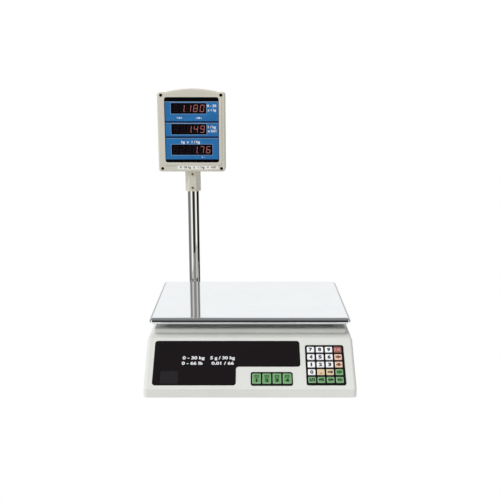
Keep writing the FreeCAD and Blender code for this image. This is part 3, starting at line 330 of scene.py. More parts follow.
# Soft light that the matt surfaces gather, from straight down to straight up, and how much more
# of it comes from the left as the camera looks.
SOFT_LIGHT = ((-1.0, 0.5), (0.0, 0.60), (1.0, 0.72))
SIDE_BIAS = 0.7
SUN_STRENGTH = 1.5
SUN_SPREAD = 28
SUN_TRAVEL = (0.383, 0.321, -0.866)


def make_world():
    """A white backdrop, light mostly from above, and a banded studio for reflections."""
    world = bpy.data.worlds.new("studio")
    bpy.context.scene.world = world
    world.use_nodes = True
    tree = world.node_tree
    tree.nodes.clear()
    place = tree.nodes.new("ShaderNodeTexCoord")
    parts = tree.nodes.new("ShaderNodeSeparateXYZ")
    tree.links.new(place.outputs["Generated"], parts.inputs["Vector"])
    x, y, z = (parts.outputs[axis] for axis in "XYZ")

    bearing = math_node(tree, "ARCTAN2", x, math_node(tree, "MULTIPLY", y, -1.0))
    turn = math_node(tree, "MULTIPLY", bearing, 1 / math.pi)
    bands = ramp_node(tree, turn, [(angle / 180, grey) for angle, grey in STUDIO_BANDS])
    share = math_node(tree, "MULTIPLY", ramp_node(tree, z, RAISED), ramp_node(tree, y, WALL_SHARE))
    level = mix_colours(tree, share, bands, ramp_node(tree, y, STUDIO_WALLS))
    upper = mix_colours(tree, ramp_node(tree, z, OVERHEAD), level, ramp_node(tree, y, STUDIO_SKY))
    whole = mix_colours(tree, ramp_node(tree, z, UNDERNEATH), upper, TABLE_MIRRORED)
    mirrored = background(tree, whole, 1.0)

    glow = ramp_node(tree, z, SOFT_LIGHT)
    side = math_node(tree, "MULTIPLY_ADD", x, -SIDE_BIAS, 1.0)
    lighting = background(tree, glow, side)
    backdrop = background(tree, (1.0, 1.0, 1.0), 1.0)

    ray = tree.nodes.new("ShaderNodeLightPath")
    lit = mix_shaders(tree, ray.outputs["Is Glossy Ray"], lighting, mirrored)
    seen = mix_shaders(tree, ray.outputs["Is Camera Ray"], lit, backdrop)
    output = tree.nodes.new("ShaderNodeOutputWorld")
    tree.links.new(seen, output.inputs["Surface"])


def make_lights():
    make_world()
    data = bpy.data.lights.new("soft_key", "SUN")
    data.energy = SUN_STRENGTH
    data.angle = math.radians(SUN_SPREAD)
    light = bpy.data.objects.new("soft_key", data)
    light.rotation_euler = Vector(SUN_TRAVEL).to_track_quat("-Z", "Y").to_euler()
    light.visible_glossy = False
    bpy.context.scene.collection.objects.link(light)
    bpy.context.scene.view_settings.view_transform = "Standard"


# ---------------------------------------------------------------- materials

def new_material(name):
    paint = bpy.data.materials.new(name)
    paint.use_nodes = True
    tree = paint.node_tree
    return paint, tree, tree.nodes["Principled BSDF"]


def object_space(tree, stretch=(1, 1, 1)):
    """Object coordinates, in metres, stretched along each axis."""
    place = tree.nodes.new("ShaderNodeTexCoord")
    mapping = tree.nodes.new("ShaderNodeMapping")
    mapping.inputs["Scale"].default_value = stretch
    tree.links.new(place.outputs["Object"], mapping.inputs["Vector"])
    return mapping.outputs["Vector"]


def noise(tree, vector, scale, detail):
    texture = tree.nodes.new("ShaderNodeTexNoise")
    texture.inputs["Scale"].default_value = scale
    texture.inputs["Detail"].default_value = detail
    tree.links.new(vector, texture.inputs["Vector"])
    return texture.outputs["Fac"]


# The middle range that most of a noise lies in.
NOISE_LOW = 0.3
NOISE_HIGH = 0.7


def spread(tree, source, low, high):
    """Maps a noise's middle range to low and high."""
    ramp = tree.nodes.new("ShaderNodeMapRange")
    ramp.inputs["From Min"].default_value = NOISE_LOW
    ramp.inputs["From Max"].default_value = NOISE_HIGH
    ramp.inputs["To Min"].default_value = low
    ramp.inputs["To Max"].default_value = high
    tree.links.new(source, ramp.inputs["Value"])
    return ramp.outputs["Result"]


def add_bump(tree, shader, height, strength, distance):
    bump = tree.nodes.new("ShaderNodeBump")
    bump.inputs["Strength"].default_value = strength
    bump.inputs["Distance"].default_value = distance
    tree.links.new(height, bump.inputs["Height"])
    tree.links.new(bump.outputs["Normal"], shader.inputs["Normal"])


def shade(colour, amount):
    return tuple(min(1, channel * amount) for channel in colour)


def add_clouds(tree, shader, space, scale, detail, dark, light):
    """Colours a shader in soft clouds between a darker and a lighter colour."""
    clouds = spread(tree, noise(tree, space, scale, detail), 0, 1)
    colours = mix_colours(tree, clouds, dark, light)
    tree.links.new(colours, shader.inputs["Base Color"])
    return colours


def add_wear(tree, shader, texture, smoothest, roughest):
    tree.links.new(spread(tree, texture, smoothest, roughest), shader.inputs["Roughness"])


def moulded(name, colour, rough=0.42, grain=0.12, grain_scale=2600):
    """Moulded plastic: a fine spark-eroded grain, faint clouding and handling marks in its gloss."""
    paint, tree, shader = new_material(name)
    space = object_space(tree)
    add_clouds(tree, shader, space, 14, 3, shade(colour, 0.97), shade(colour, 1.03))
    add_wear(tree, shader, noise(tree, space, 60, 4), rough - 0.05, rough + 0.07)
    add_bump(tree, shader, noise(tree, space, grain_scale, 1), grain, 0.2 * MM)
    return paint


def glossy(name, colour, rough=0.07, smear=0.06, coat=0.3):
    """Polished plastic with faint finger smears in its gloss."""
    paint, tree, shader = new_material(name)
    space = object_space(tree, (1, 2.2, 1.4))
    add_clouds(tree, shader, space, 30, 2, shade(colour, 0.9), shade(colour, 1.1))
    add_wear(tree, shader, noise(tree, space, 45, 5), rough, rough + smear)
    shader.inputs["Coat Weight"].default_value = coat
    shader.inputs["Coat Roughness"].default_value = 0.04
    return paint


def metal(name, colour, rough, scratch, stretch, scale, bump):
    """Bare metal with fine wear that runs along the least stretched axis."""
    paint, tree, shader = new_material(name)
    add_clouds(tree, shader, object_space(tree), 22, 3, shade(colour, 0.98), shade(colour, 1.01))
    shader.inputs["Metallic"].default_value = 1
    grain = noise(tree, object_space(tree, stretch), scale, 4)
    add_wear(tree, shader, grain, rough, rough + scratch)
    add_bump(tree, shader, grain, bump, 0.1 * MM)
    return paint


def glowing(name, colour, strength):
    """Lit display segments, slightly uneven in brightness."""
    paint, tree, shader = new_material(name)
    shader.inputs["Roughness"].default_value = 0.3
    colours = add_clouds(tree, shader, object_space(tree), 220, 1, shade(colour, 0.85), colour)
    tree.links.new(colours, shader.inputs["Emission Color"])
    shader.inputs["Emission Strength"].default_value = strength
    return paint


def key_plastic(name, colour):
    return moulded(name, colour, 0.35, 0.05)


# Paler cap rims: a painted highlight standing in for the gloss on the caps' rounded edges.
def worn_rim(name, colour):
    return moulded(name, colour, 0.3, 0.03)


def printing(name, colour, rough=0.45):
    return moulded(name, colour, rough, 0.02)


# One finish for each of the record's material slots.
PAINTS = {
    "housing": moulded("housing", (0.69, 0.70, 0.665)),
    "head_casing": moulded("head_casing", (0.63, 0.605, 0.52)),
    "black_trim": glossy("black_trim", (0.0045, 0.0022, 0.0035), coat=0.0),
    "display_print": glossy("display_print", (0.001, 0.001, 0.002)),
    "key_white": key_plastic("key_white", (0.84, 0.85, 0.87)),
    "key_red": key_plastic("key_red", (0.30, 0.06, 0.055)),
    "key_orange": key_plastic("key_orange", (0.78, 0.46, 0.32)),
    "key_tan": key_plastic("key_tan", (0.68, 0.52, 0.31)),
    "key_green": key_plastic("key_green", (0.12, 0.35, 0.11)),
    "pan_steel": metal("pan_steel", (0.93, 0.955, 0.975), 0.04, 0.02, (1, 30, 30), 60, 0.01),
    "pole_steel": metal("pole_steel", (0.93, 0.915, 0.88), 0.015, 0.02, (20, 20, 1), 60, 0.005),
    "cast_metal": metal("cast_metal", (0.30, 0.30, 0.31), 0.45, 0.2, (1, 1, 1), 500, 0.3),
    "machined_metal": metal("machined_metal", (0.70, 0.71, 0.73), 0.25, 0.15, (1, 12, 12), 250, 0.1),
    "screw_steel": metal("screw_steel", (0.55, 0.55, 0.54), 0.25, 0.15, (1, 1, 1), 900, 0.1),
    "rubber": moulded("rubber", (0.022, 0.022, 0.022), 0.75, 0.3, 1800),
    "circuit_board": glossy("circuit_board", (0.02, 0.13, 0.05), 0.25, 0.15),
    "collar_plastic": moulded("collar_plastic", (0.60, 0.585, 0.52)),
    "fitting_plastic": moulded("fitting_plastic", (0.015, 0.015, 0.016), 0.3, 0.08),
    "level_glass": glossy("level_glass", (0.42, 0.62, 0.10), 0.05, 0.05),
    "battery_case": moulded("battery_case", (0.06, 0.06, 0.065), 0.5),
    "transformer_core": metal("transformer_core", (0.20, 0.20, 0.21), 0.5, 0.2, (1, 30, 1), 200, 0.3),
}
INK = printing("ink", (0.02, 0.02, 0.025), 0.5)
WHITE_INK = printing("white_ink", (0.74, 0.76, 0.78))
PALE_INK = printing("pale_ink", (0.52, 0.28, 0.26))
LINE_INK = printing("line_ink", (0.26, 0.38, 0.52))
# The paler rims of the key caps, a painted highlight for the gloss on their rounded edges.
PAINTED_HIGHLIGHT_RIMS = {
    "key_white": worn_rim("painted_highlight_rim_white", (0.88, 0.89, 0.91)),
    "key_red": worn_rim("painted_highlight_rim_red", (0.52, 0.24, 0.22)),
    "key_orange": worn_rim("painted_highlight_rim_orange", (0.88, 0.66, 0.54)),
    "key_tan": worn_rim("painted_highlight_rim_tan", (0.80, 0.68, 0.48)),
    "key_green": worn_rim("painted_highlight_rim_green", (0.34, 0.50, 0.33)),
}
BLUE_PRINT = glossy("blue_print", (0.018, 0.16, 0.42), 0.2, 0.08)
DARK_BLUE = glossy("dark_blue", (0.001, 0.012, 0.07), 0.2, 0.08)
PALE_LABEL = moulded("pale_label", (0.86, 0.85, 0.79), 0.5, 0.03)
LED_LENS = glossy("led_lens", (0.0015, 0.001, 0.003), 0.12, 0.06)
LIT_RED = glowing("lit_red", (0.34, 0.105, 0.095), 0.42)
UNLIT_RED = glossy("unlit_red", (0.014, 0.005, 0.006), 0.2, 0.1)
SMOKED = glossy("smoked_lens", (0.011, 0.0095, 0.012), 0.12, 0.08)
BLACK_STEEL = metal("black_steel", (0.03, 0.03, 0.03), 0.4, 0.15, (1, 1, 1), 900, 0.1)
BRASS = metal("brass", (0.48, 0.40, 0.22), 0.28, 0.15, (1, 1, 1), 900, 0.1)
BUBBLE = glossy("bubble", (0.72, 0.84, 0.36), 0.04, 0.03)

SLOT_OF = {part["node"]: part["material_slot"] for part in frame["record"]["subparts"]}


def paint_nodes():
    """Gives every CAD node its slot's finish."""
    for name, item in nodes.items():
        item.data.materials.clear()
        item.data.materials.append(PAINTS[SLOT_OF[name]])


# The edge radius of each visible moulding, in mm.
SOFTENED = {
    "upper_housing": 0.5, "lower_chassis": 0.6, "head_front_shell": 0.35, "head_rear_shell": 0.5,
    "window_panel": 0.15, "keypad_bezel": 0.3, "memory_bezel": 0.3, "head_window": 0.2,
    "pole_socket": 0.8, "power_inlet": 0.3, "switch_frame": 0.3, "switch_rocker": 0.3,
}
SOFTENED |= {f"foot_pad_{corner}": 0.5 for corner in ("front_left", "front_right", "back_left", "back_right")}


def soften_edges():
    """Breaks the sharp edges of the visible mouldings."""
    for name, radius in SOFTENED.items():
        item = nodes[name]
        weld = item.modifiers.new("join", "WELD")
        weld.merge_threshold = 1e-6
        bevel = item.modifiers.new("edges", "BEVEL")
        bevel.width = radius * MM
        bevel.segments = 2
        bevel.limit_method = "ANGLE"
        bevel.angle_limit = SMOOTH_BELOW
        normals = item.modifiers.new("normals", "WEIGHTED_NORMAL")
        normals.keep_sharp = False


# ---------------------------------------------------------------- pan and pole

# The pan's section as (inset from the outer edge, height above the skirt's lower edge), in mm:
# the flat top and the fold's low bead, the sloping shoulder, the face, the roll, and back up inside.
PAN_TOP = ((9, 10.65), (7.4, 10.65), (6.4, 10.8), (5.6, 10.97), (4.9, 11.0), (4.2, 10.82))
PAN_SHOULDER = ((3.5, 10.3), (3.3, 10.15), (0.5, 7.95), (0.35, 7.8), (0.27, 7.6))
PAN_FACE = ((0.26, 7.45), (0.03, 4.5), (0.02, 4.35), (0, 4.1), (0.05, 3.8))
PAN_ROLL = ((0.3, 3.0), (0.8, 1.9), (1.4, 0.9), (2.0, 0.3), (2.6, 0.0), (3.0, 0.3), (2.6, 1.0), (2.2, 2.2))
PAN_INSIDE = ((1.9, 4.0), (2.2, 6.0), (3.2, 7.9), (4.6, 9.5), (6.5, 10.0), (9, 10.0))
# The outer corner's radius, how fast it falls with the inset, and the least that it falls to.
PAN_CORNER = 5.0 * MM
PAN_CORNER_FALL = 0.8
PAN_CORNER_LEAST = 1.2 * MM


def make_pan():
    size = extent("pan")
    base = plane((*middle("pan").xy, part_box("pan")[0][2]), (1, 0, 0), (0, 1, 0))
    mesh = bmesh.new()
    rings = []
    for inset, height in PAN_TOP + PAN_SHOULDER + PAN_FACE + PAN_ROLL + PAN_INSIDE:
        inset *= MM
        radius = max(PAN_CORNER - inset * PAN_CORNER_FALL, PAN_CORNER_LEAST)
        outline = rounded(size.x - 2 * inset, size.y - 2 * inset, radius, 8)
        rings.append(lift(outline, height * MM))
    skin(mesh, rings, base)
    piece("pan_tray", mesh, "pan", PAINTS["pan_steel"], "pan")


POLE_WALL = 1.2 * MM
POLE_EASED = 0.3 * MM


def make_pole():
    """A drawn tube with eased outer ends."""
    size = extent("pole")
    radius, length = size.x / 2, size.z
    eased, bore = radius - POLE_EASED, radius - POLE_WALL
    base = plane((*middle("pole").xy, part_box("pole")[0][2]), (1, 0, 0), (0, 1, 0))
    mesh = bmesh.new()
    section = [(eased, 0), (radius, POLE_EASED), (radius, length - POLE_EASED), (eased, length),
               (bore, length), (bore, 0)]
    lathe(mesh, section, base, 96)
    piece("pole_tube", mesh, "pole_display", PAINTS["pole_steel"], "pole")


# ---------------------------------------------------------------- keys

# Plain numbers and signs: the text, its height and its width in mm.
KEY_LEGENDS = {f"key_{n}": (str(n), 5.8, 5.6) for n in range(10)}
KEY_LEGENDS |= {
    "key_1": ("1", 5.8, 2.7), "key_point": (".", 7.0, 2.6), "key_clear": ("<<0", 4.4, 8.8),
    "key_accumulate": ("+/+", 4.6, 8.8), "key_tare": ("-0-", 4.6, 9.2), "key_zero": (">0<", 4.6, 9.2),
    "key_power_save": ("1/0", 4.6, 8.8), "key_unit_price": ("1/1", 4.8, 9.0),
    "key_total": ("=%", 4.6, 8.8), "key_subtotal": ("+/=", 4.8, 9.2), "key_change": ("+/-", 4.6, 8.8),
}
MEMORY_LEGENDS = {"memory_key_1": ("1", 3), "memory_key_2": ("2", 6), "memory_key_3": ("3", 6),
                  "memory_key_4": ("4", 6)}
MEMORY_LEGEND_HEIGHT = 5.4
MEMORY_LEGEND_DROP = 3.2
# The frame over a memory key's number: its half width, lower and upper edges and line, in mm.
MEMORY_FRAME = (3.4, 1.6, 5.6, 1.1)
# How far the strokes are thickened, as a share of the height.
LEGEND_WEIGHT = 0.1
THIN_LEGEND_WEIGHT = 0.075
KEY_FLANGE = 0.7 * MM
FLANGE_THICK = 1.2 * MM
FLANGE_CORNER = 0.6 * MM
STEM_RADIUS = 2 * MM
CAP_HEIGHT = 5.1 * MM
# The cap's corner radius, how fast it falls with the inset, and the least that it falls to.
CAP_CORNER = 0.9 * MM
CAP_CORNER_FALL = 0.3
CAP_CORNER_LEAST = 0.35 * MM
# The cap's upper edge and its dished top: (inset, drop below the highest point), in mm.
CAP_SECTION = ((0, 1.0), (0.06, 0.62), (0.22, 0.3), (0.48, 0.09), (0.85, 0), (1.3, 0.02),
               (2.0, 0.1), (2.9, 0.17), (3.9, 0.2))
# How far the painted highlight rim of a cap reaches in and down.
KEY_HIGHLIGHT_RIM = 0.9 * MM
KEY_HIGHLIGHT_RIM_DEPTH = 2 * MM
LEGEND_SEAT = 0.24 * MM
LEGEND_TOP = 0.06 * MM


def make_key(name):
    make_cap(name)
    make_legend(name)


def make_cap(name):
    """A flanged stem and a dished cap whose rim carries a paler painted highlight."""
    face, width, height = slope_plane(name)
    depth = 2 * (face.translation - middle(name)).dot(-INWARD)
    stem = rounded(2 * STEM_RADIUS, 2 * STEM_RADIUS, STEM_RADIUS)
    flange = rounded(width, height, FLANGE_CORNER)
    width -= 2 * KEY_FLANGE
    height -= 2 * KEY_FLANGE
    cap = rounded(width, height, CAP_CORNER)
    rings = [lift(stem, -depth), lift(stem, -CAP_HEIGHT - FLANGE_THICK),
             lift(flange, -CAP_HEIGHT - FLANGE_THICK), lift(flange, -CAP_HEIGHT), lift(cap, -CAP_HEIGHT)]
    for inset, drop in CAP_SECTION:
        inset *= MM
        radius = max(CAP_CORNER - inset * CAP_CORNER_FALL, CAP_CORNER_LEAST)
        rings.append(lift(rounded(width - 2 * inset, height - 2 * inset, radius), -drop * MM))
    mesh = bmesh.new()
    skin(mesh, rings, face)
    back = face.inverted()
    # Faces at the cap's edge take the paler finish, a painted highlight.
    for side in mesh.faces:
        u, v, w = back @ side.calc_center_median()
        on_highlight_rim = abs(u) > width / 2 - KEY_HIGHLIGHT_RIM or abs(v) > height / 2 - KEY_HIGHLIGHT_RIM
        side.material_index = 1 if on_highlight_rim and w > -KEY_HIGHLIGHT_RIM_DEPTH else 0
    slot = SLOT_OF[name]
    moulding = piece(f"{name}_moulding", mesh, f"{name}_cap", PAINTS[slot], name)
    moulding.data.materials.append(PAINTED_HIGHLIGHT_RIMS[slot])


def make_legend(name):
    """A key's printed number or sign; a memory key's number stands under a small frame."""
    face = slope_plane(name)[0]
    slot = SLOT_OF[name]
    mesh = bmesh.new()
    if name in MEMORY_LEGENDS:
        half, bottom, top, line = (length * MM for length in MEMORY_FRAME)
        border(mesh, -half, bottom, half, top, line, -LEGEND_SEAT, -LEGEND_TOP, face)
        text, wide = MEMORY_LEGENDS[name]
        tall, drop, weight = MEMORY_LEGEND_HEIGHT, MEMORY_LEGEND_DROP, LEGEND_WEIGHT
    else:
        text, tall, wide = KEY_LEGENDS[name]
        drop = 0
        weight = THIN_LEGEND_WEIGHT if slot == "key_white" else LEGEND_WEIGHT
    glyphs(mesh, text, tall * MM, wide * MM, (0, -drop * MM), -LEGEND_SEAT, -LEGEND_TOP, face, weight)
    piece(f"{name}_legend", mesh, f"{name}_cap", PALE_INK if slot == "key_red" else INK)


# ---------------------------------------------------------------- printed panels

SEGMENTS = {"0": "abcdef", "1": "bc", "4": "bcfg", "6": "acdefg", "7": "abc", "8": "abcdefg",
            "9": "abcdfg", " ": ""}
DIGIT_SLANT = 0.14
DIGIT_WIDTH = 6.9 * MM
DIGIT_HEIGHT = 12.2 * MM
DIGIT_PITCH = 12.6 * MM
SEGMENT_LINE = 1.15 * MM
SEGMENT_GAP = 0.3 * MM
# A dot's radius and how far it lies past its digit.
DOT_RADIUS = 0.69 * MM
DOT_OFFSET = 0.92 * MM


def segment_places(width, height):
    """Each segment's middle and whether it lies flat, about the digit's own middle."""
    return {
        "a": (0, height / 2, True), "d": (0, -height / 2, True), "g": (0, 0, True),
        "b": (width / 2, height / 4, False), "c": (width / 2, -height / 4, False),
        "f": (-width / 2, height / 4, False), "e": (-width / 2, -height / 4, False),
    }


def add_segment(mesh, centre, flat, length, low, high, frame_matrix, origin):
    """A six-sided bar, leaned with the digit."""
    half, end = SEGMENT_LINE / 2, length / 2
    outline = [(-end, 0), (-end + half, -half), (end - half, -half), (end, 0), (end - half, half),
               (-end + half, half)]
    if not flat:
        outline = [(-v, u) for u, v in outline]
    leaned = []
    for u, v in outline:
        v += centre[1]
        leaned.append((origin[0] + u + centre[0] + v * DIGIT_SLANT, origin[1] + v))
    slab(mesh, leaned, low, high, frame_matrix)


def digit_row(lit, unlit, text, cells, right, v, low, high, frame_matrix):
    """Seven-segment digits set from the right; a dot follows the digit before it."""
    digits = []
    for mark in text:
        if mark == ".":
            digits[-1] = (digits[-1][0], True)
        else:
            digits.append((mark, False))
    digits = [(" ", False)] * (cells - len(digits)) + digits
    for n, (mark, dotted) in enumerate(reversed(digits)):
        origin = (right - DIGIT_PITCH * (n + 0.5), v)
        for name, (u, rise, flat) in segment_places(DIGIT_WIDTH, DIGIT_HEIGHT).items():
            length = (DIGIT_WIDTH if flat else DIGIT_HEIGHT / 2) - SEGMENT_GAP
            target = lit if name in SEGMENTS[mark] else unlit
            add_segment(target, (u, rise), flat, length, low, high, frame_matrix, origin)
        dot = (origin[0] + DIGIT_WIDTH / 2 + DOT_OFFSET, v - DIGIT_HEIGHT / 2)
        slab(lit if dotted else unlit, disc(DOT_RADIUS, 16), low, high, frame_matrix, dot)


# How far each layer of print stands off its panel; all start just inside it.
PRINT_LOW = -0.02 * MM
PRINT_FIELD = 0.06 * MM
PRINT_LINE = 0.10 * MM
PRINT_DIGIT = 0.14 * MM
PRINT_WEIGHT = 0.05
# The head's print, in mm from the panel's left edge and lower edge: the lower and upper edges of the
# blue fields and the darker gutters between them, and the lines along the fields and round the lenses.
BLUE_FIELDS = ((78.9, 114.9), (49.9, 74.9), (5.9, 45.9))
BLUE_GUTTERS = ((75.6, 78.9), (46.6, 49.9))
PRINT_INSET = 1.0
FIELD_LINE = 0.7
LENS_LINE_GAP = 0.9
LENS_LINE = 0.55
# The lenses of the weight, price and total: left, lower, right and upper edges, the digits that
# are lit and how many the lens can show.
LENSES = (
    (12.4, 92.9, 79.9, 112.9, "1.180", 5),
    (12.4, 53.6, 79.9, 73.6, "1.49", 5),
    (12.0, 14.4, 90.9, 34.4, "1.76", 6),
)
DIGIT_MARGIN = 1.5
# Black pointers under the lenses, as (across, up, half width), and their shoulders and tips.
POINTERS = ((28.5, 90.6, 1.5), (65.5, 90.6, 1.5), (66.5, 11.2, 1.2))
POINTER_SHOULDER = 0.8
POINTER_TIP = -1.1
# White print as (text, height, width, across, up).
HEAD_MARKS = (
    ("0 - 30", 4.6, 17.5, 90.4, 107.6), ("x 1 kg", 4.4, 16.5, 90.4, 99.8),
    (">0<", 3.4, 10.0, 28.5, 84.9), ("-0-", 3.4, 12.5, 65.5, 84.9),
    ("1 / kg", 4.6, 15.5, 90.4, 67.8), ("x 0.01", 4.4, 16.5, 90.4, 60.2),
    ("kg  x  1 / kg", 4.8, 36, 49.0, 39.4), ("+ -", 2.8, 6.5, 72.6, 10.2),
)


def make_head_print():
    """Blue fields, dark lenses, lit and unlit digits, lines and small marks on the display."""
    face = plane(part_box("head_window")[0], (1, 0, 0), (0, 0, 1))
    width = extent("head_window").x
    fields, gutters, lenses, lines = bmesh.new(), bmesh.new(), bmesh.new(), bmesh.new()
    lit, unlit, marks, pointers = bmesh.new(), bmesh.new(), bmesh.new(), bmesh.new()
    edge = PRINT_INSET * MM
    for bottom, top in BLUE_FIELDS:
        bar(fields, edge, bottom * MM, width - edge, top * MM, PRINT_LOW, PRINT_FIELD, face)
        bar(lines, edge, top * MM, width - edge, (top + FIELD_LINE) * MM, PRINT_LOW, PRINT_LINE, face)
    for bottom, top in BLUE_GUTTERS:
        bar(gutters, edge, bottom * MM, width - edge, top * MM, PRINT_LOW, PRINT_FIELD, face)
    for left, bottom, right, top, text, cells in LENSES:
        bar(lenses, left * MM, bottom * MM, right * MM, top * MM, PRINT_LOW, PRINT_LINE, face)
        border(lines, (left - LENS_LINE_GAP) * MM, (bottom - LENS_LINE_GAP) * MM,
               (right + LENS_LINE_GAP) * MM, (top + LENS_LINE_GAP) * MM, LENS_LINE * MM,
               PRINT_LOW, PRINT_LINE, face)
        digit_row(lit, unlit, text, cells, (right - DIGIT_MARGIN) * MM, (bottom + top) / 2 * MM,
                  PRINT_LINE, PRINT_DIGIT, face)
    for u, v, half in POINTERS:
        corners = ((-half, POINTER_SHOULDER), (0, POINTER_TIP), (half, POINTER_SHOULDER))
        slab(pointers, in_metres(corners), PRINT_LOW, PRINT_LINE, face, (u * MM, v * MM))
    for text, tall, wide, u, v in HEAD_MARKS:
        glyphs(marks, text, tall * MM, wide * MM, (u * MM, v * MM), PRINT_LOW, PRINT_LINE, face,
               PRINT_WEIGHT)
    body = "pole_display"
    piece("head_blue_fields", fields, body, BLUE_PRINT)
    piece("head_gutters", gutters, body, DARK_BLUE)
    piece("head_lenses", lenses, body, LED_LENS)
    piece("head_lines", lines, body, LINE_INK)
    piece("head_digits_lit", lit, body, LIT_RED)
    piece("head_digits_unlit", unlit, body, UNLIT_RED)
    piece("head_marks", marks, body, WHITE_INK)
    piece("head_pointers", pointers, body, INK)


# The label in mm: its middle from the pole's axis and the display panel's lower edge, its width,
# height and corner, how far it lies behind the shell's foremost point, and its text.
LABEL_PLACE = (11.4, -9.7)
LABEL_SIZE = (79, 7.2, 0.8)
LABEL_SETBACK = 1.2
LABEL_LOW = -0.03
LABEL_TOP = 0.06
LABEL_TEXT = "0 - 30 kg   x   1 / kg   =   0.01"
LABEL_TEXT_SIZE = (3.5, 70)
LABEL_TEXT_TOP = 0.1


def make_head_label():
    """A pale strip under the display with a small range mark."""
    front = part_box("head_front_shell")[0][1] + LABEL_SETBACK * MM
    face = plane((middle("pole").x, front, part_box("head_window")[0][2]), (1, 0, 0), (0, 0, 1))
    strip, marks = bmesh.new(), bmesh.new()
    place = [offset * MM for offset in LABEL_PLACE]
    outline = rounded(*(side * MM for side in LABEL_SIZE))
    tall, wide = (side * MM for side in LABEL_TEXT_SIZE)
    slab(strip, outline, LABEL_LOW * MM, LABEL_TOP * MM, face, place)
    glyphs(marks, LABEL_TEXT, tall, wide, place, 0.0, LABEL_TEXT_TOP * MM, face, PRINT_WEIGHT)
    piece("head_label", strip, "pole_display", PALE_LABEL)
    piece("head_label_marks", marks, "pole_display", INK)


# White print as (text, width, across, up).
WINDOW_MARKS = (("0 - 30 kg", 37, 66.5, 50.2), ("5 g / 30 kg", 41.4, 115.1, 50.2),
                ("0 - 66 lb", 35, 64.5, 40.2), ("0.01 / 66", 37.4, 115.4, 40.2))
MARK_HEIGHT = 5.4
MARK_TOP = 0.08 * MM
# A smoked lens: its width, height, corner and place, in mm.
WINDOW_LENS = (29.3, 22.8, 1)
WINDOW_LENS_PLACE = (27.5, 14.3)
WINDOW_LENS_TOP = 0.05 * MM


def make_window_print():
    """Range marks and a smoked lens on the seller's window."""
    face, width, height = slope_plane("window_panel")
    left, bottom = -width / 2, -height / 2
    marks, lens = bmesh.new(), bmesh.new()
    for text, wide, u, v in WINDOW_MARKS:
        glyphs(marks, text, MARK_HEIGHT * MM, wide * MM, (left + u * MM, bottom + v * MM), PRINT_LOW,
               MARK_TOP, face, PRINT_WEIGHT)
    outline = rounded(*(side * MM for side in WINDOW_LENS))
    u, v = WINDOW_LENS_PLACE
    slab(lens, outline, PRINT_LOW, WINDOW_LENS_TOP, face, (left + u * MM, bottom + v * MM))
    piece("window_marks", marks, "base", WHITE_INK)
    piece("window_lens", lens, "base", SMOKED)


# ---------------------------------------------------------------- screws and small fittings

def cross_outline(reach, half):
    """A cross about the origin, anticlockwise."""
    return [(half, half), (half, reach), (-half, reach), (-half, half), (-reach, half), (-reach, -half),
            (-half, -half), (-half, -reach), (half, -reach), (half, -half), (reach, -half), (reach, half)]


# A screw head's section as shares of its radius and height, and its cross as shares of them: how
# far the arms reach, half their width and the height of the floor.
HEAD_SECTION = ((1, 0), (1, 0.45), (0.93, 0.8), (0.78, 1))
CROSS_REACH = 0.55
CROSS_HALF = 0.13
CROSS_FLOOR = 0.35


def screw_head(mesh, radius, height, seat_plane):
    """A pan head with a cross recess, standing on its seat."""
    rings = [lift(disc(radius * share, 32), height * rise) for share, rise in HEAD_SECTION]
    loops = skin(mesh, rings, seat_plane, capped=False)
    mesh.faces.new(list(reversed(loops[0])))
    outline = cross_outline(radius * CROSS_REACH, radius * CROSS_HALF)
    rim, foot = [[mesh.verts.new(seat_plane @ Vector((u, v, w))) for u, v in outline]
                 for w in (height, height * CROSS_FLOOR)]
    for n in range(len(rim)):
        mesh.faces.new((rim[n - 1], rim[n], foot[n], foot[n - 1]))
    mesh.faces.new(foot)
    edges = [mesh.edges.get((ring[n - 1], ring[n])) for ring in (loops[-1], rim) for n in range(len(ring))]
    bmesh.ops.triangle_fill(mesh, use_beauty=True, edges=edges)


# Screws in mm: head radius and height, shank length, and how far their rows lie apart.
CORNER_HEAD = (2.9, 1.8)
NECK_HEAD = (2.4, 1.2)
SHANK_RADIUS = 1.4
CORNER_SHANK = 20
NECK_SHANK = 6
CORNER_ROWS = 139.5
NECK_ROWS = 26.4


def make_head_screws():
    low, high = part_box("head_screws")
    centre = middle("pole").x
    reach = (high[0] - low[0]) / 2 - CORNER_HEAD[0] * MM
    top = high[2] - CORNER_HEAD[0] * MM
    seat = high[1] - CORNER_SHANK * MM
    corners, necks = bmesh.new(), bmesh.new()
    for x in (centre - reach, centre + reach):
        for z in (top - CORNER_ROWS * MM, top):
            spot = plane((x, seat, z), (1, 0, 0), (0, 0, 1))
            screw_head(corners, CORNER_HEAD[0] * MM, CORNER_HEAD[1] * MM, spot)
            slab(corners, disc(SHANK_RADIUS * MM, 24), -CORNER_SHANK * MM, 0, spot)
    bottom = low[2] + NECK_HEAD[0] * MM
    for z in (bottom, bottom + NECK_ROWS * MM):
        spot = plane((centre, low[1] + NECK_HEAD[1] * MM, z), (1, 0, 0), (0, 0, 1))
        screw_head(necks, NECK_HEAD[0] * MM, NECK_HEAD[1] * MM, spot)
        slab(necks, disc(SHANK_RADIUS * MM, 24), -NECK_SHANK * MM, 0, spot)
    body = "pole_display"
    piece("head_corner_screws", corners, body, BLACK_STEEL, "head_screws")
    piece("head_neck_screws", necks, body, BRASS, "head_screws")


# The inlet's pins in mm: their places about its middle, how far in they start, and their sleeves'
# sides and section as (inset, reach).
PIN_PLACES = ((-7, -2), (0, 2), (7, -2))
PIN_START = 16.9
SLEEVE_SIDES = (2.16, 4.16)
SLEEVE_CORNER = 0.35
SLEEVE_SECTION = ((0, 0), (0, 10.6), (0.2, 11.0), (0.6, 11.15))


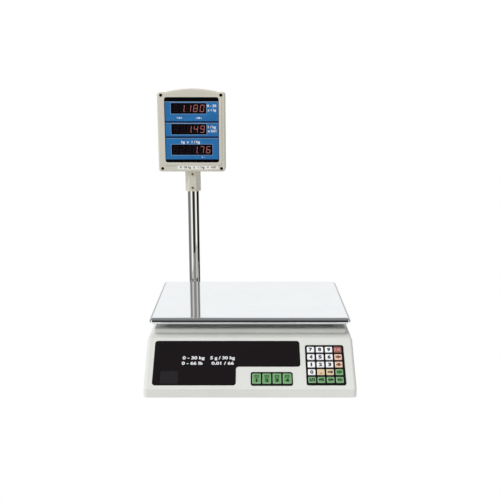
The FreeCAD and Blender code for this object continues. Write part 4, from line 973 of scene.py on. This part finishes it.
def make_inlet_pins():
    """Bright sleeves on the inlet's three pins."""
    centre = middle("power_inlet")
    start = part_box("upper_housing")[1][1] - PIN_START * MM
    mesh = bmesh.new()
    for x, z in PIN_PLACES:
        spot = plane((centre.x + x * MM, start, centre.z + z * MM), (-1, 0, 0), (0, 0, 1))
        rings = []
        for inset, reach in SLEEVE_SECTION:
            wide, tall = ((side - 2 * inset) * MM for side in SLEEVE_SIDES)
            rings.append(lift(rounded(wide, tall, SLEEVE_CORNER * MM, 3), reach * MM))
        skin(mesh, rings, spot)
    piece("inlet_pin_sleeves", mesh, "base", BRASS)


# The rocker rests turned about its pivot, and its two faces fall towards its middle.
ROCKER_TURN = math.radians(10)
ROCKER_SLOPE = math.atan2(1.2, 7.8)
# In mm: a face's middle from the pivot, the bar's half width and half height, the ring's outer and
# inner radius, and where the marks start and end.
ROCKER_FACE = (3.9, 3.4)
ROCKER_BAR = (0.45, 2.5)
ROCKER_RING = (2.4, 1.7)
ROCKER_MARK = (-0.05, 0.1)


def make_rocker_marks():
    """The on bar and the off ring on the rocker's two faces."""
    pivot = Vector(joints["switch_rock"]["pos_m"])
    upright = Vector((0, 0, 1))
    spots = []
    for side in (-1, 1):
        lean = ROCKER_TURN + side * ROCKER_SLOPE
        face = Vector((side * ROCKER_FACE[0], ROCKER_FACE[1], 0)) * MM
        outward = Vector((-math.sin(lean), math.cos(lean), 0))
        place = pivot + Matrix.Rotation(ROCKER_TURN, 3, "Z") @ face
        spots.append(plane(place, upright.cross(outward), upright))
    off, on = spots
    low, high = (w * MM for w in ROCKER_MARK)
    half, tall = (reach * MM for reach in ROCKER_BAR)
    outer, inner = (radius * MM for radius in ROCKER_RING)
    marks = bmesh.new()
    bar(marks, -half, -tall, half, tall, low, high, on)
    lathe(marks, [(outer, low), (outer, high), (inner, high), (inner, low)], off, 32)
    piece("rocker_marks", marks, "rocker", WHITE_INK)


def make_load_cell():
    mesh = bmesh.new()
    mesh.from_mesh(nodes["load_cell"].data)
    paint = PAINTS[SLOT_OF["load_cell"]]
    beam = piece("load_cell_beam", mesh, None, paint, "load_cell")
    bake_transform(beam)


# The spirit level's sections as (radius, height above the deck) in mm. The cup's foot is the
# node's own lowest point.
LEVEL_FLANGE = 1.2
LEVEL_SHELL = 8
LEVEL_BORE = 7
LEVEL_FLOOR = 0.8
CUP_RIM = ((8, 0), (10, 0), (10, 0.8), (9.6, 1.2), (7.4, 1.2), (7, 0.8))
VIAL_SECTION = ((7, -5), (7, 0.35), (5.6, 0.6), (3.8, 0.8), (1.9, 0.9), (0.3, 0.93))
RING_SECTION = ((2.9, 0.8), (2.9, 0.98), (2.6, 0.98), (2.6, 0.8))
BUBBLE_SECTION = ((2.1, 0.8), (2.0, 0.98), (1.5, 1.1), (0.8, 1.16), (0.2, 1.18))
BUBBLE_DRIFT = (0.3, 0.2, 0)


def make_spirit_level():
    low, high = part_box("spirit_level")
    centre = middle("spirit_level")
    deck = high[2] - LEVEL_FLANGE * MM
    foot = (low[2] - deck) / MM
    spot = plane((centre.x, centre.y, deck), (1, 0, 0), (0, 1, 0))
    well = foot + 2 * LEVEL_FLOOR
    cup_section = ((LEVEL_SHELL, foot), *CUP_RIM, (LEVEL_BORE, well), (0.5, well), (0.5, foot))
    cup, vial, ring, bubble = bmesh.new(), bmesh.new(), bmesh.new(), bmesh.new()
    lathe(cup, in_metres(cup_section), spot)
    lathe(vial, in_metres(VIAL_SECTION), spot, capped=True)
    lathe(ring, in_metres(RING_SECTION), spot)
    drift = Matrix.Translation(Vector(BUBBLE_DRIFT) * MM)
    lathe(bubble, in_metres(BUBBLE_SECTION), spot @ drift, 32, capped=True)
    piece("level_cup", cup, "base", PAINTS["fitting_plastic"], "spirit_level")
    piece("level_vial", vial, "base", PAINTS["level_glass"])
    piece("level_ring", ring, "base", INK)
    piece("level_bubble", bubble, "base", BUBBLE)


make_camera()
make_floor()
make_lights()
paint_nodes()
soften_edges()
make_pan()
make_pole()
for key in KEY_LEGENDS | MEMORY_LEGENDS:
    make_key(key)
make_head_print()
make_head_label()
make_window_print()
make_head_screws()
make_inlet_pins()
make_rocker_marks()
make_load_cell()
make_spirit_level()
